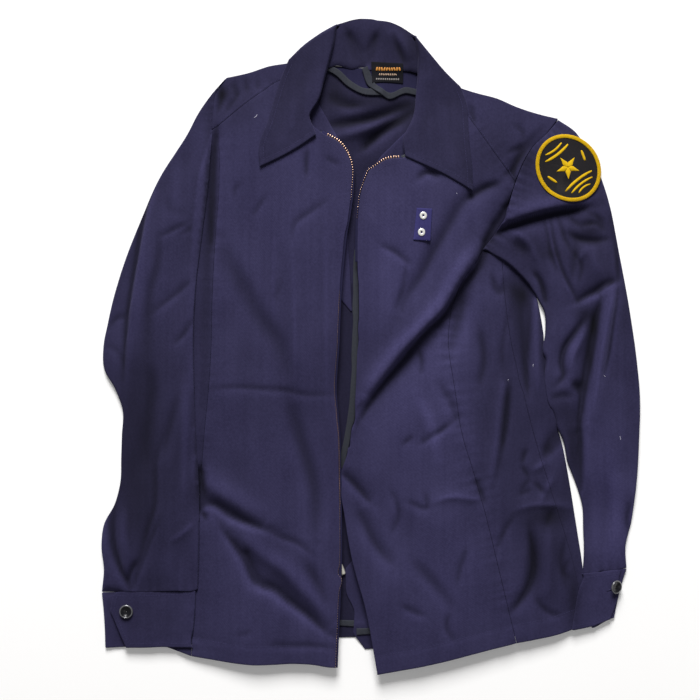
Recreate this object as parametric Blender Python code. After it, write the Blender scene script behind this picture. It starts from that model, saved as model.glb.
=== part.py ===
"""Zip-front station jacket laid flat on its back, front open, sleeves at its sides.

Every cut piece of cloth is a thin wall.  The plan outline of each wall comes
from the section tables below, and its height from the walls that lie under it.
All walls share one triangulated lattice in plan, so a wall that rests on
another follows it point for point and never cuts into it.
Tables are in millimetres: +X is the wearer's left, +Y runs from hem to collar.
"""
import math

import bmesh
import bpy
import numpy as np
from mathutils import Vector
from mathutils.geometry import delaunay_2d_cdt

# sizes, mm
MM = 0.001
CLOTH = 1.4             # wall of one cloth
TRIM = 1.0              # wall of bindings, tapes, label and badge tab
COLLAR_CLOTH = 2.2      # two cloths and their interlining
SEAM_GAP = 0.3          # between neighbours at a seam
LAY_GAP = 0.35          # between a wall and what lies on it
LINE_STEP = 27.0        # spacing of points along an edge or seam
GRID_STEP = 36.0        # spacing of points inside a panel
CLEAR_OF_LINES = 13.0   # a grid point this near a line is left out

FOLD_EDGE_RISE = 1.9    # lowest height of an upper wall over a folded edge
BODY_LOFT, BODY_REACH = 7.0, 45.0
SLEEVE_LOFT, SLEEVE_REACH = 12.5, 28.0
CUFF_LOFT, CUFF_REACH = 4.0, 20.0
OPEN_EDGE_DIP, OPEN_EDGE_REACH = 3.0, 18.0
ROLL_RISE, ROLL_REACH = 13.0, 26.0
STAND_RISE, STAND_REACH = 7.0, 30.0

TAPE_SHOWS, TAPE_UNDER = 2.6, 8.0      # zip tape past the cloth edge, and beneath it
BINDING_WIDTH = 7.5
BUTTON_RADIUS, BUTTON_HEIGHT, BUTTON_SIDES = 7.6, 2.8, 14
BUTTON_RIM = 0.72                      # radius of the rim's inner edge, of the button's radius
BUTTON_SECTION = ((0, 0.5, 0.75, 1), (0.7, 0.72, 1, 0.55))     # radii, and height there
EYELET_OUTER, EYELET_INNER, EYELET_HEIGHT, EYELET_SIDES = 4.2, 1.6, 1.0, 10
PATCH_HALF_WIDTH, PATCH_HALF_HEIGHT, PATCH_THICK, PATCH_SIDES = 37.0, 41.0, 1.4, 20
ZIP_BOX_WIDTH, ZIP_BOX_LENGTH, ZIP_BOX_HEIGHT = 6.0, 15.0, 2.6
PATCH_TURN, ZIP_BOX_TURN = 128.0, 18.0  # degrees, counter-clockwise

TOE = 1.7               # where a fold's toe is drawn, of its run to nothing
FOLD_TIP = 0.35         # height left at a fold's ends, of its full height
MERGE = 0.9             # lattice points nearer than this are one
PLAIN_MERGE = 0.002     # the same, where a flat wall is cut again from its border
END_TO_END = 1.0        # line ends nearer than this share one point
ON_LINE = 1.0           # an edge whose points are nearer to a line than this lies along it
SHARP_ANGLE = 50.0      # degrees between faces that keep a crisp edge


def table(columns, *rows):
    """Rows of numbers under named columns, as a dictionary of columns."""
    return dict(zip(columns.split(), zip(*rows)))


# body, by height sections
# x of each long edge and seam of the body at height y; None is past its end.
BODY = table(
    "y    edge_r side_r zip_r zip_l side_l seam_l edge_l",
    (190, -199, -174, -21, -7, None, None, None),
    (120, -206, -179, -30, -15, None, None, None),
    (50, -211, -182, -36, -13, 95, 156, 194),
    (0, -213, -183, -38, -15, 90, 163, 202),
    (-50, -214, -186, -41, -17, 97, 175, 206),
    (-100, -216, -191, -37, -21, 105, 188, 219),
    (-150, -220, -195, -36, -34, 120, 203, 229),
    (-200, -225, -199, -35, -29, 134, 219, 237),
    (-250, -230, -202, -35, -20, 146, 234, 245),
    (-300, -234, -204, -37, -6, 158, 244, 252),
)

# edges, folds and seams in plan, as x, y
SEAMS = {
    # hems, from the wearer's right to left
    "hem_edge_r": ((-237, -346), (-206, -357)),
    "hem_front_r": ((-206, -357), (-138, -366), (-76, -365), (-40, -369)),
    "hem_front_l": ((8, -377), (77, -364), (128, -351), (168, -341)),
    "hem_side_l": ((168, -341), (210, -333), (248, -322)),
    "hem_return_l": ((248, -322), (256, -319)),
    "hem_under_r": ((-237, -346), (-180, -343)),
    "back_hem": ((-180, -343), (-90, -340), (-19, -336), (80, -341), (166, -335), (256, -319)),
    "back_seam_r": ((-182, 250), (-164, 190), (-158, 60), (-160, -80), (-172, -220), (-180, -343)),
    # seams and edges of the top
    "shoulder_r": ((-90, 328), (-110, 326), (-127, 319), (-150, 314), (-166, 310)),
    "shoulder_l": ((99, 300), (118, 294), (145, 287), (178, 273), (217, 263)),
    "armhole_r": ((-166, 310), (-177, 295), (-181, 272), (-182, 250)),
    "armhole_l": ((217, 263), (202, 244), (184, 226), (173, 205), (167, 190)),
    "armhole_low_l": ((167, 190), (161, 172), (156, 150), (138, 122), (130, 111)),
    "underarm_l": ((130, 111), (152, 103)),
    "underarm_back_l": ((152, 103), (183, 92)),
    "yoke_seam_r": ((-86, 318), (-132, 289), (-163, 264), (-175, 254)),
    "yoke_end_r": ((-175, 254), (-182, 250)),
    "yoke_seam_l": ((80, 312), (113, 266), (145, 220), (167, 190)),
    "neck_front_r": ((-86, 318), (-78, 283), (-70, 256), (-56, 246)),
    "neck_front_l": ((40, 217), (44, 243), (62, 278), (80, 312)),
    "zip_top_r": ((-56, 246), (-40, 237), (-27, 226), (-22, 211)),
    "zip_top_l": ((40, 217), (22, 215), (7, 211), (-2, 202)),
    "neck_back": ((-90, 328), (-46, 325), (-9, 321), (39, 321), (74, 315), (99, 300)),
    "shoulder_back_l": ((217, 263), (190, 190), (181, 140), (183, 92)),
    # top and lower edge of each cuff; the last knot but one is where its tab starts
    "cuff_r_top": ((-200, -280), (-276, -283), (-311, -284)),
    "cuff_l_top": ((244, -262), (289, -257), (297, -256)),
    "cuff_r_end": ((-204, -346), (-281, -347), (-307, -348)),
    "cuff_l_end": ((231, -327), (246, -326), (262, -319), (277, -314.5), (283, -313)),
    # collar: roll line, edge of the fall, and where the fall folds underneath
    "roll_r": ((-38, 371), (-41, 350), (-52, 308), (-60, 280), (-70, 256), (-62, 243)),
    "roll_l": ((51, 358), (55, 326), (53, 300), (46, 256), (39, 244), (40, 218)),
    "leaf_front_r": ((-62, 243), (-90, 224), (-127, 206)),
    "leaf_front_l": ((40, 218), (60, 209), (80, 200), (118, 178)),
    "leaf_outer_r": ((-127, 206), (-129, 216), (-116, 264), (-104, 306), (-94, 331)),
    "leaf_outer_l": ((118, 178), (117, 200), (113, 244), (112, 275), (104, 300)),
    "fall_fold_r": ((-94, 331), (-84, 341), (-62, 358), (-38, 371)),
    "fall_fold_l": ((104, 300), (88, 315), (72, 333), (51, 358)),
    "roll_back": ((-38, 371), (-25, 377), (-4, 375), (20, 374), (36, 368), (51, 358)),
    "fall_under": ((-94, 331), (-50, 328), (0, 325), (55, 323), (104, 300)),
    "stand_low": ((-66, 322), (-46, 326), (-9, 322), (39, 322), (68, 314)),
    "stand_top": ((-33, 370), (-23, 374), (-4, 373), (20, 372), (34, 367), (45, 358)),
    "stand_side_r": ((-33, 370), (-52, 350), (-66, 322)),
    "stand_side_l": ((45, 358), (62, 340), (68, 314)),
    # facings, and what lies inside
    "facing_r": (
        (-70, 300), (-51, 265), (-40, 246), (-30, 226), (-25, 197), (-27, 139), (-24, 99), (-21, 39),
    ),
    "facing_r_back": ((-21, 39), (-45, 66), (-68, 90), (-84, 200), (-70, 300)),
    "facing_l": ((60, 272), (44, 251), (13, 219), (1, 203), (-7, 168), (-9, 136)),
    "facing_l_back": ((-9, 136), (20, 128), (50, 180), (60, 272)),
    "lower_facing": (
        (-16, -240), (-28, -256), (-30, -270), (-26, -290), (-17, -312), (-18, -340), (-6, -350),
    ),
    "lower_facing_back": ((-6, -350), (26, -346), (22, -290), (2, -236), (-16, -240)),
    "neck_facing_r": ((-60, 324), (-43, 315), (-22, 297), (-7, 290), (14, 289)),
    "neck_facing_l": ((-10, 320), (-7, 307), (3, 295), (13, 287), (26, 285), (38, 291), (66, 287)),
    "label": ((2, 303), (38, 303), (38, 326), (1, 328)),
    "badge_tab": ((53, 159), (71, 158), (69, 121), (49, 122)),
    "hem_binding": ((-64, -314), (24, -318), (24, -325), (-64, -321)),
    "lower_binding": ((-16, -325), (8, -323), (10, -331), (-16, -333)),
    "binding_l": ((-20, 112), (-17, 55), (-18, -10), (-20, -60), (-27, -108), (-34, -140)),
}

# sleeves, a row for each cross section
SLEEVE_R = table(
    "x_in  y_in  x_out y_out",
    (-182, 250, -190, 285),
    (-185, 222, -214, 243),
    (-187, 192, -244, 196),
    (-193, 140, -268, 142),
    (-201, 76, -291, 80),
    (-204, 30, -305, 24),
    (-204, -20, -310, -20),
    (-203, -60, -288, -68),
    (-201, -112, -289, -112),
    (-198, -168, -293, -172),
    (-198, -215, -311, -212),
    (-199, -262, -309, -264),
    (-200, -280, -311, -284),
)
SLEEVE_L = table(
    "x_in  y_in  x_out y_out",
    (130, 111, 240, 247),
    (158, 94, 264, 206),
    (186, 64, 279, 160),
    (201, 40, 289, 108),
    (205, 10, 299, 54),
    (202, -40, 309, -14),
    (207, -68, 313, -60),
    (221, -98, 312, -104),
    (232, -150, 309, -156),
    (241, -170, 306, -182),
    (244, -205, 302, -208),
    (245, -240, 295, -242),
    (244, -262, 297, -256),
)
CUFF_R = table(
    "x_in  y_in  x_out y_out",
    (-200, -280, -311, -284),
    (-200, -300, -309, -312),
    (-204, -346, -307, -348),
)
CUFF_L = table(
    "x_in  y_in  x_out y_out",
    (244, -262, 297, -256),
    (237, -288, 291, -279),
    (231, -327, 283, -313),
)
TAB_TIPS = {"cuff_r": (-300, -304), "cuff_l": (287, -279)}

EYELETS = ((60, 150), (58, 131))
BUTTONS = {"right": (-282, -306), "left": (281, -277)}
PATCH = (227, 205)
ZIP_BOX = (-34, -256)

# folds
# group, height, run to nothing on the left and on the right of its direction,
# then the crest's own points; a negative height is a trough.
FOLDS = (
    ("body", 8.5, 8, 24, ((128, 113), (104, 66), (60, 8), (8, -52), (-26, -112))),
    ("body", -3.5, 16, 16, ((150, 190), (126, 138), (86, 76), (30, -2))),
    ("body", -3.5, 15, 15, ((-163, 128), (-147, 67), (-127, 8), (-99, -40), (-80, -118))),
    ("body", 6.0, 10, 22, ((-80, -222), (-118, -204), (-158, -188), (-192, -176))),
    ("body", 6.0, 10, 24, ((-58, -318), (-100, -280), (-138, -234), (-164, -200))),
    ("body", -4.0, 13, 13, ((173, -203), (186, -255), (164, -305))),
    ("body", 4.0, 14, 14, ((152, -16), (146, -78), (136, -150))),
    ("body", 3.5, 14, 14, ((-48, 60), (-50, -60), (-50, -200))),
    ("sleeve_r", 4.5, 9, 26, ((-254, 150), (-270, 84), (-279, 10), (-284, -62))),
    ("sleeve_r", -5.0, 11, 11, ((-292, -196), (-294, -232), (-284, -276))),
    ("sleeve_r", 4.0, 12, 12, ((-244, 42), (-222, 58), (-202, 88))),
    ("sleeve_r", -4.0, 12, 14, ((-246, -50), (-250, -130), (-262, -220))),
    ("sleeve_l", 7.0, 9, 24, ((150, 140), (186, 152), (226, 160), (256, 168))),
    ("sleeve_l", 6.5, 20, 8, ((272, 66), (260, 14), (248, -66), (244, -150))),
    ("sleeve_l", -3.0, 12, 12, ((283, 50), (268, -40), (250, -100))),
)


# lines in plan
def smooth(knots, step=LINE_STEP):
    """Cubic curve through the knots, read at about equal steps."""
    knots = np.asarray(knots, float)
    chord = np.r_[0, np.cumsum(np.hypot(*np.diff(knots, axis=0).T))]
    slope = np.gradient(knots, chord, axis=0)
    at = np.linspace(0, chord[-1], max(2, math.ceil(chord[-1] / step) + 1))
    i = np.clip(np.searchsorted(chord, at, "right") - 1, 0, len(knots) - 2)
    run = (chord[i + 1] - chord[i])[:, None]
    t = (at[:, None] - chord[i][:, None]) / run
    ends = (1 + 2 * t) * (1 - t) ** 2 * knots[i] + t * t * (3 - 2 * t) * knots[i + 1]
    return ends + run * t * (1 - t) * ((1 - t) * slope[i] - t * slope[i + 1])


def joined(*lines):
    """Lines end to end as one, each turned to start where the last one ended."""
    path = list(lines[0])
    if len(lines) > 1:
        tips = (lines[1][0], lines[1][-1])
        if min(math.dist(path[0], t) for t in tips) < min(math.dist(path[-1], t) for t in tips):
            path.reverse()
    for line in lines[1:]:
        if math.dist(path[-1], line[-1]) < math.dist(path[-1], line[0]):
            line = line[::-1]
        path.extend(line[1:] if math.dist(path[-1], line[0]) < END_TO_END else line)
    return np.array(path)


def beside(line, offset):
    """The line moved sideways, to the left of its own direction."""
    along = np.gradient(line, axis=0)
    along /= np.hypot(*along.T)[:, None]
    return line + offset * np.c_[-along[:, 1], along[:, 0]]


def segment_distance(points, segments):
    """Distance of each point from the nearest of many segments."""
    a, run = segments[:, 0], segments[:, 1] - segments[:, 0]
    t = ((points[:, None] - a) * run).sum(2) / np.maximum((run ** 2).sum(1), 1e-9)
    foot = a + np.clip(t, 0, 1)[..., None] * run
    return np.hypot(*np.moveaxis(points[:, None] - foot, 2, 0)).min(1)


def distance(points, line):
    """Distance of each point from an open line."""
    return segment_distance(points, np.stack([line[:-1], line[1:]], 1))


def side_of(points, line):
    """+1 for points on the left of the nearest segment, -1 for the right."""
    a, b = line[:-1], line[1:]
    run = b - a
    t = np.clip(((points[:, None] - a) * run).sum(2) / (run ** 2).sum(1), 0, 1)
    away = points[:, None] - (a + t[..., None] * run)
    nearest = (away ** 2).sum(2).argmin(1)
    row = np.arange(len(points))
    off = away[row, nearest]
    return np.sign(run[nearest, 0] * off[:, 1] - run[nearest, 1] * off[:, 0])


def inside(points, loop):
    """Even-odd test of points against a closed outline."""
    x, y = points[:, 0, None], points[:, 1, None]
    ax, ay = loop.T
    bx, by = np.roll(loop, -1, axis=0).T
    spans = (ay > y) != (by > y)
    rise = np.where(by == ay, 1.0, by - ay)
    crossing = ax + (y - ay) * (bx - ax) / rise
    return (spans & (x < crossing)).sum(1) % 2 == 1


def oval(centre, half_width, half_height, turn, sides):
    """Closed oval, its height along the turn angle in degrees."""
    a = np.linspace(0, 2 * np.pi, sides, endpoint=False)
    c, s = math.cos(math.radians(turn - 90)), math.sin(math.radians(turn - 90))
    u, v = half_width * np.cos(a), half_height * np.sin(a)
    return np.c_[centre[0] + c * u - s * v, centre[1] + s * u + c * v]


def seam_lines():
    """Every edge, fold and seam of the jacket by name, as points in plan."""
    lines = {name: smooth(knots) for name, knots in SEAMS.items()}
    ends = {
        "edge_r": ("armhole_r", "hem_edge_r", 0), "side_r": ("yoke_seam_r", "hem_front_r", 0),
        "zip_r": ("zip_top_r", "hem_front_r", -1), "zip_l": ("zip_top_l", "hem_front_l", 0),
        "side_l": ("armhole_low_l", "hem_side_l", 0), "seam_l": ("underarm_l", "hem_side_l", -1),
        "edge_l": ("underarm_back_l", "hem_return_l", -1),
    }
    for name, (above, hem, end) in ends.items():
        knots = [(x, y) for x, y in zip(BODY[name], BODY["y"]) if x is not None]
        lines[name] = smooth([SEAMS[above][-1], *knots, SEAMS[hem][end]])
    tubes = (
        ("sleeve_r", SLEEVE_R, [SEAMS["armhole_r"][0]]), ("sleeve_l", SLEEVE_L, [SEAMS["armhole_l"][0]]),
        ("cuff_r", CUFF_R, []), ("cuff_l", CUFF_L, []),
    )
    for name, rows, top in tubes:
        lines[name + "_in"] = smooth(list(zip(rows["x_in"], rows["y_in"])))
        lines[name + "_out"] = smooth(top + list(zip(rows["x_out"], rows["y_out"])))
    for name in ("cuff_r_top", "cuff_l_top", "cuff_r_end", "cuff_l_end"):
        knots = SEAMS[name]
        lines[name] = joined(smooth(knots[:-1]), smooth(knots[-2:]))
    return lines


def band(line, first, second):
    """Closed strip between two offsets to the left of a line."""
    return np.vstack([beside(line, first), beside(line, second)[::-1]])


# pieces
LEVELS = ("fall", "floor", "inside", "inner_trim", "tape", "box", "top", "sleeve_low", "sleeve_high",
          "cuff_tab", "stand", "leaf", "trim", "on_trim")
NAVY = (0.034, 0.031, 0.066)
NAVY_DARK = (0.023, 0.022, 0.048)
GREY = (0.074, 0.077, 0.098)
BRASS = (0.52, 0.36, 0.13)
FINISHES = {             # colour, roughness, metallic
    "twill": (NAVY, 0.9, 0.0),
    "inside_twill": (NAVY_DARK, 0.92, 0.0),
    "binding": (GREY, 0.85, 0.0),
    "zip_brass": (BRASS, 0.35, 1.0),
    "label_cloth": ((0.012, 0.011, 0.014), 0.8, 0.0),
    "nickel": ((0.8, 0.8, 0.78), 0.3, 1.0),
    "button_plastic": ((0.012, 0.012, 0.02), 0.3, 0.0),
    "patch_embroidery": ((0.75, 0.52, 0.02), 0.8, 0.0),
}
# how an upper wall rises from its folded edges: folds, loft, reach, edges
RISES = {
    "body": ("body", BODY_LOFT, BODY_REACH, ("edge_r", "edge_l", "shoulder_r", "shoulder_l")),
    "sleeve_r": ("sleeve_r", SLEEVE_LOFT, SLEEVE_REACH, ("sleeve_r_in", "sleeve_r_out", "cuff_r_top")),
    "sleeve_l": ("sleeve_l", SLEEVE_LOFT, SLEEVE_REACH, ("sleeve_l_in", "sleeve_l_out", "cuff_l_top")),
    "cuff": ("cuff", CUFF_LOFT, CUFF_REACH, ("cuff_r_in", "cuff_r_out", "cuff_l_in", "cuff_l_out")),
    "leaf_r": ("leaf", ROLL_RISE, ROLL_REACH, ("roll_r",)),
    "leaf_l": ("leaf", ROLL_RISE, ROLL_REACH, ("roll_l",)),
    "stand": ("leaf", STAND_RISE, STAND_REACH, ("roll_back",)),
}


class Wall:
    """One layer of cloth of a piece: its level, outline, hole and what it only touches."""

    def __init__(self, level, outline, rise=None, hole=None, plain=False, beside=()):
        self.level, self.outline, self.rise = LEVELS.index(level), outline, rise
        self.hole, self.plain, self.beside = hole, plain, beside


class Piece:
    """A cut piece: walls that meet along folded edges, in one cloth."""

    def __init__(self, name, finish, walls, folds=(), thick=CLOTH, profile=None, extra=()):
        self.name, self.finish, self.walls = name, finish, walls
        self.folds, self.thick, self.profile, self.extra = folds, thick, profile, extra


def button_profile(centre, radius):
    """Thickness of a button: rounded edge, raised rim, dished middle."""
    def at(points):
        out = np.hypot(*(points - centre).T) / radius
        return BUTTON_HEIGHT * np.interp(out, *BUTTON_SECTION)
    return at


def outline_of(lines, *names):
    """Closed outline from named lines, end to end."""
    return joined(*(lines[name] for name in names))


def body_pieces(lines):
    """Back, side panels, fronts and yokes."""
    def cut(*names):
        return outline_of(lines, *names)

    neck_r = np.array([SEAMS["yoke_seam_r"][0], SEAMS["shoulder_r"][0]], float)
    neck_l = np.array([SEAMS["yoke_seam_l"][0], SEAMS["shoulder_l"][0]], float)
    back = cut("neck_back", "shoulder_l", "shoulder_back_l", "edge_l", "back_hem", "back_seam_r", "armhole_r",
               "shoulder_r")
    back_return = cut("underarm_back_l", "seam_l", "hem_return_l", "edge_l")
    side_low = cut("edge_r", "back_seam_r", "hem_under_r")
    side_top = cut("yoke_end_r", "side_r", "hem_edge_r", "edge_r")
    side_l = cut("side_l", "hem_side_l", "seam_l", "underarm_l")
    front_r = cut("neck_front_r", "zip_top_r", "zip_r", "hem_front_r", "side_r", "yoke_seam_r")
    front_l = cut("neck_front_l", "zip_top_l", "zip_l", "hem_front_l", "side_l", "armhole_low_l", "yoke_seam_l")
    yoke_r = joined(lines["shoulder_r"], lines["armhole_r"], lines["yoke_end_r"], lines["yoke_seam_r"], neck_r)
    yoke_l = joined(lines["shoulder_l"], lines["armhole_l"], lines["yoke_seam_l"], neck_l)
    return [
        Piece("back", "twill",
              [Wall("floor", back, plain=True), Wall("top", back_return, "body")], ("edge_l",)),
        Piece("side_panel_right", "twill",
              [Wall("floor", side_low, plain=True), Wall("top", side_top, "body")], ("edge_r",)),
        Piece("side_panel_left", "twill", [Wall("top", side_l, "body")]),
        Piece("front_right", "twill", [Wall("top", front_r, "body")]),
        Piece("front_left", "twill", [Wall("top", front_l, "body")]),
        Piece("yoke_right", "twill", [Wall("top", yoke_r, "body")]),
        Piece("yoke_left", "twill", [Wall("top", yoke_l, "body")]),
    ]


def inside_pieces(lines):
    """Facings, bindings, label, zip tapes and zip box between back and fronts."""
    zip_r = joined(lines["zip_top_r"], lines["zip_r"])
    zip_l = joined(lines["zip_top_l"], lines["zip_l"][:5])
    turn = math.radians(ZIP_BOX_TURN)
    across = np.array((math.cos(turn), math.sin(turn))) * ZIP_BOX_WIDTH / 2
    along = np.array((-math.sin(turn), math.cos(turn))) * ZIP_BOX_LENGTH / 2
    box = np.array([ZIP_BOX - across - along, ZIP_BOX + across - along, ZIP_BOX + across + along,
                    ZIP_BOX - across + along])
    binding_l = band(lines["binding_l"], -BINDING_WIDTH / 2, BINDING_WIDTH / 2)
    right, left = lines["neck_facing_r"], lines["neck_facing_l"]
    seam_l = np.array(((66, 300), (66, 313), (30, 319)))
    seam_r = np.array(((14, 304), (14, 319), (-10, 321)))
    return [
        Piece("facing_right", "inside_twill", [Wall("inside", outline_of(lines, "facing_r", "facing_r_back"))]),
        Piece("facing_left", "inside_twill", [Wall("inside", outline_of(lines, "facing_l", "facing_l_back"))]),
        Piece("facing_left_lower", "inside_twill",
              [Wall("inner_trim", outline_of(lines, "lower_facing", "lower_facing_back"))]),
        Piece("neck_facing_right", "inside_twill", [Wall("inside", np.vstack([right, seam_r]))]),
        Piece("neck_facing_left", "inside_twill", [Wall("tape", np.vstack([left, seam_l]))]),
        Piece("neck_binding_right", "binding", [Wall("inner_trim", band(right, 0, BINDING_WIDTH))], thick=TRIM),
        Piece("neck_binding_left", "binding", [Wall("box", band(left, 0, BINDING_WIDTH))], thick=TRIM),
        Piece("front_binding_left", "binding", [Wall("inner_trim", binding_l)], thick=TRIM),
        Piece("hem_binding", "binding", [Wall("inside", np.array(SEAMS["hem_binding"], float))], thick=TRIM),
        Piece("lower_binding", "binding", [Wall("tape", np.array(SEAMS["lower_binding"], float))], thick=TRIM),
        Piece("label", "label_cloth", [Wall("leaf", np.array(SEAMS["label"], float))], thick=TRIM),
        Piece("zip_tape_right", "zip_brass", [Wall("tape", band(zip_r, TAPE_SHOWS, -TAPE_UNDER))], thick=TRIM),
        Piece("zip_tape_left", "zip_brass", [Wall("tape", band(zip_l, -TAPE_SHOWS, TAPE_UNDER))], thick=TRIM),
        Piece("zip_box", "zip_brass", [Wall("box", box)], thick=ZIP_BOX_HEIGHT),
    ]


def arm_pieces(lines, side, sleeve, armhole, touches):
    """A sleeve as a flattened tube, and its cuff, whose tab end lies over its other end."""
    cuff = sleeve.replace("sleeve", "cuff")
    top, end = lines[cuff + "_top"], lines[cuff + "_end"]
    tube = joined(*(lines[name] for name in armhole), lines[sleeve + "_in"], top, lines[sleeve + "_out"])
    low = joined(top, lines[cuff + "_in"], end, lines[cuff + "_out"])
    tab = joined(lines[cuff + "_in"], end[:-1], np.array([TAB_TIPS[cuff]]), top[:-1])
    lap = joined(lines[cuff + "_out"], end[-3:], top[-3:])
    return [
        Piece("sleeve_" + side, "twill",
              [Wall("sleeve_low", tube, beside=touches), Wall("sleeve_high", tube, sleeve, beside=touches)],
              (sleeve + "_in", sleeve + "_out")),
        Piece("cuff_" + side, "twill",
              [Wall("sleeve_low", low), Wall("sleeve_high", lap), Wall("cuff_tab", tab, "cuff")],
              (cuff + "_in", cuff + "_out")),
    ]


def collar_pieces(lines):
    """Stand inside the neck, and the fall: under the back neck, and out over both fronts."""
    under = outline_of(lines, "fall_fold_r", "roll_back", "fall_fold_l", "fall_under")
    leaf_r = outline_of(lines, "roll_r", "leaf_front_r", "leaf_outer_r", "fall_fold_r")
    leaf_l = outline_of(lines, "roll_l", "leaf_front_l", "leaf_outer_l", "fall_fold_l")
    stand = outline_of(lines, "stand_top", "stand_side_l", "stand_low", "stand_side_r")
    return [
        Piece("collar_stand", "twill", [Wall("stand", stand, "stand")], thick=COLLAR_CLOTH),
        Piece("collar_fall", "twill",
              [Wall("fall", under), Wall("leaf", leaf_r, "leaf_r"), Wall("leaf", leaf_l, "leaf_l")],
              ("fall_fold_r", "fall_fold_l"), thick=COLLAR_CLOTH),
    ]


def trim_pieces():
    """Badge tab with its eyelets, shoulder patch and cuff buttons."""
    patch = oval(PATCH, PATCH_HALF_WIDTH, PATCH_HALF_HEIGHT, PATCH_TURN, PATCH_SIDES)
    pieces = [
        Piece("badge_tab", "twill", [Wall("trim", np.array(SEAMS["badge_tab"], float))], thick=TRIM),
        Piece("shoulder_patch", "patch_embroidery", [Wall("trim", patch)], thick=PATCH_THICK),
    ]
    for name, centre in zip(("eyelet_upper", "eyelet_lower"), EYELETS):
        ring, hole = (oval(centre, r, r, 0, EYELET_SIDES) for r in (EYELET_OUTER, EYELET_INNER))
        pieces.append(Piece(name, "nickel", [Wall("on_trim", ring, hole=hole)], thick=EYELET_HEIGHT))
    for side, centre in BUTTONS.items():
        edge, rim = (oval(centre, r, r, 0, BUTTON_SIDES) for r in (BUTTON_RADIUS, BUTTON_RADIUS * BUTTON_RIM))
        pieces.append(Piece("button_" + side, "button_plastic", [Wall("trim", edge)],
                            profile=button_profile(np.array(centre), BUTTON_RADIUS), extra=(rim,)))
    return pieces


# lattice
def fold_lines():
    """Crest and both toes of every fold, as open lines."""
    lines = []
    for _, _, left, right, crest in FOLDS:
        ridge = smooth(crest)
        lines += [ridge, beside(ridge, left * TOE), beside(ridge, -right * TOE)]
    return lines


def make_lattice(loops, open_lines):
    """Triangles over the whole plan that keep every outline and fold as edges."""
    points, edges = [], []
    for line, closed in [(loop, True) for loop in loops] + [(line, False) for line in open_lines]:
        first = len(points)
        points += [tuple(p) for p in line]
        edges += [(first + i, first + i + 1) for i in range(len(line) - 1)]
        if closed:
            edges.append((len(points) - 1, first))
    low, high = np.min(points, axis=0), np.max(points, axis=0)
    drawn = np.array([(points[a], points[b]) for a, b in edges])
    rows = np.arange(low[1], high[1], GRID_STEP * math.sqrt(0.75))
    for count, y in enumerate(rows):
        start = low[0] + (count % 2) * GRID_STEP / 2
        across = np.arange(start, high[0], GRID_STEP)
        spots = np.c_[across, np.full(len(across), y)]
        far = segment_distance(spots, drawn) > CLEAR_OF_LINES
        points += [tuple(p) for p in spots[far]]
    verts, _, faces, _, _, _ = delaunay_2d_cdt([Vector(p) for p in points], edges, [], 0, MERGE)
    return np.array([tuple(v) for v in verts]), np.array(faces)


# heights
def fold_height(points, group):
    """Sum of a group's ridges and troughs: a bell across each crest, fading at its ends."""
    total = np.zeros(len(points))
    for name, height, left, right, crest in FOLDS:
        if name != group:
            continue
        ridge = smooth(crest)
        run = np.where(side_of(points, ridge) > 0, left, right)
        fade = np.ones(len(points))
        for tip in (ridge[0], ridge[-1]):
            fade *= 1 - np.exp(-(np.hypot(*(points - tip).T) / run) ** 2 / 2)
        bell = np.exp(-(distance(points, ridge) / run) ** 2)
        total += height * bell * (FOLD_TIP + (1 - FOLD_TIP) * fade)
    return total


def rise_of(points, name, lines):
    """Height that an upper wall wants: puffed up from its folded edges, with its folds."""
    group, loft, reach, edges = RISES[name]
    off = np.min([distance(points, lines[edge]) for edge in edges], axis=0)
    if group == "leaf":
        return FOLD_EDGE_RISE + loft * np.exp(-off / reach)
    height = FOLD_EDGE_RISE + loft * (1 - np.exp(-off / reach))
    if name == "body":
        free = [lines[edge] for edge in ("zip_r", "zip_l", "hem_front_r", "hem_front_l", "hem_side_l")]
        near = np.min([distance(points, edge) for edge in free], axis=0)
        height -= OPEN_EDGE_DIP * np.exp(-near / OPEN_EDGE_REACH)
    return height + fold_height(points, group)


class Layer:
    """The lattice triangles that one wall takes, with its heights."""

    def __init__(self, wall, verts, tris):
        middle = verts[tris].mean(1)
        keep = inside(middle, wall.outline)
        if wall.hole is not None:
            keep &= ~inside(middle, wall.hole)
        self.tris = tris[keep]
        self.used = np.unique(self.tris)
        self.border = border_edges(self.tris)
        self.rim = set(self.border.ravel().tolist())


def border_edges(tris):
    """Directed edges that only one triangle has."""
    edges = np.vstack([tris[:, [0, 1]], tris[:, [1, 2]], tris[:, [2, 0]]])
    pairs = {tuple(edge) for edge in edges.tolist()}
    return np.array([edge for edge in edges.tolist() if (edge[1], edge[0]) not in pairs])


def counter_clockwise(verts, tris):
    """Triangles turned to face up."""
    a, b, c = (verts[tris[:, i]] for i in range(3))
    area = (b[:, 0] - a[:, 0]) * (c[:, 1] - a[:, 1]) - (b[:, 1] - a[:, 1]) * (c[:, 0] - a[:, 0])
    return np.where((area < 0)[:, None], tris[:, ::-1], tris)


def lay(pieces, verts, tris, lines):
    """Height of every wall's underside and top, level by level from the floor."""
    resting = {}
    stack = []
    for level in range(len(LEVELS)):
        placed = []
        for piece in pieces:
            for wall in piece.walls:
                if wall.level != level:
                    continue
                layer = Layer(wall, verts, tris)
                low = np.zeros(len(verts))
                for name, used, top in stack:
                    if name not in wall.beside:
                        low[used] = np.maximum(low[used], top[used] + LAY_GAP)
                if wall.rise:
                    low = np.maximum(low, rise_of(verts, wall.rise, lines))
                thick = piece.profile(verts) if piece.profile else piece.thick
                placed.append((piece.name, layer.used, low + thick))
                resting[id(wall)] = (layer, low, low + thick)
        stack += placed
    return resting


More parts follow.
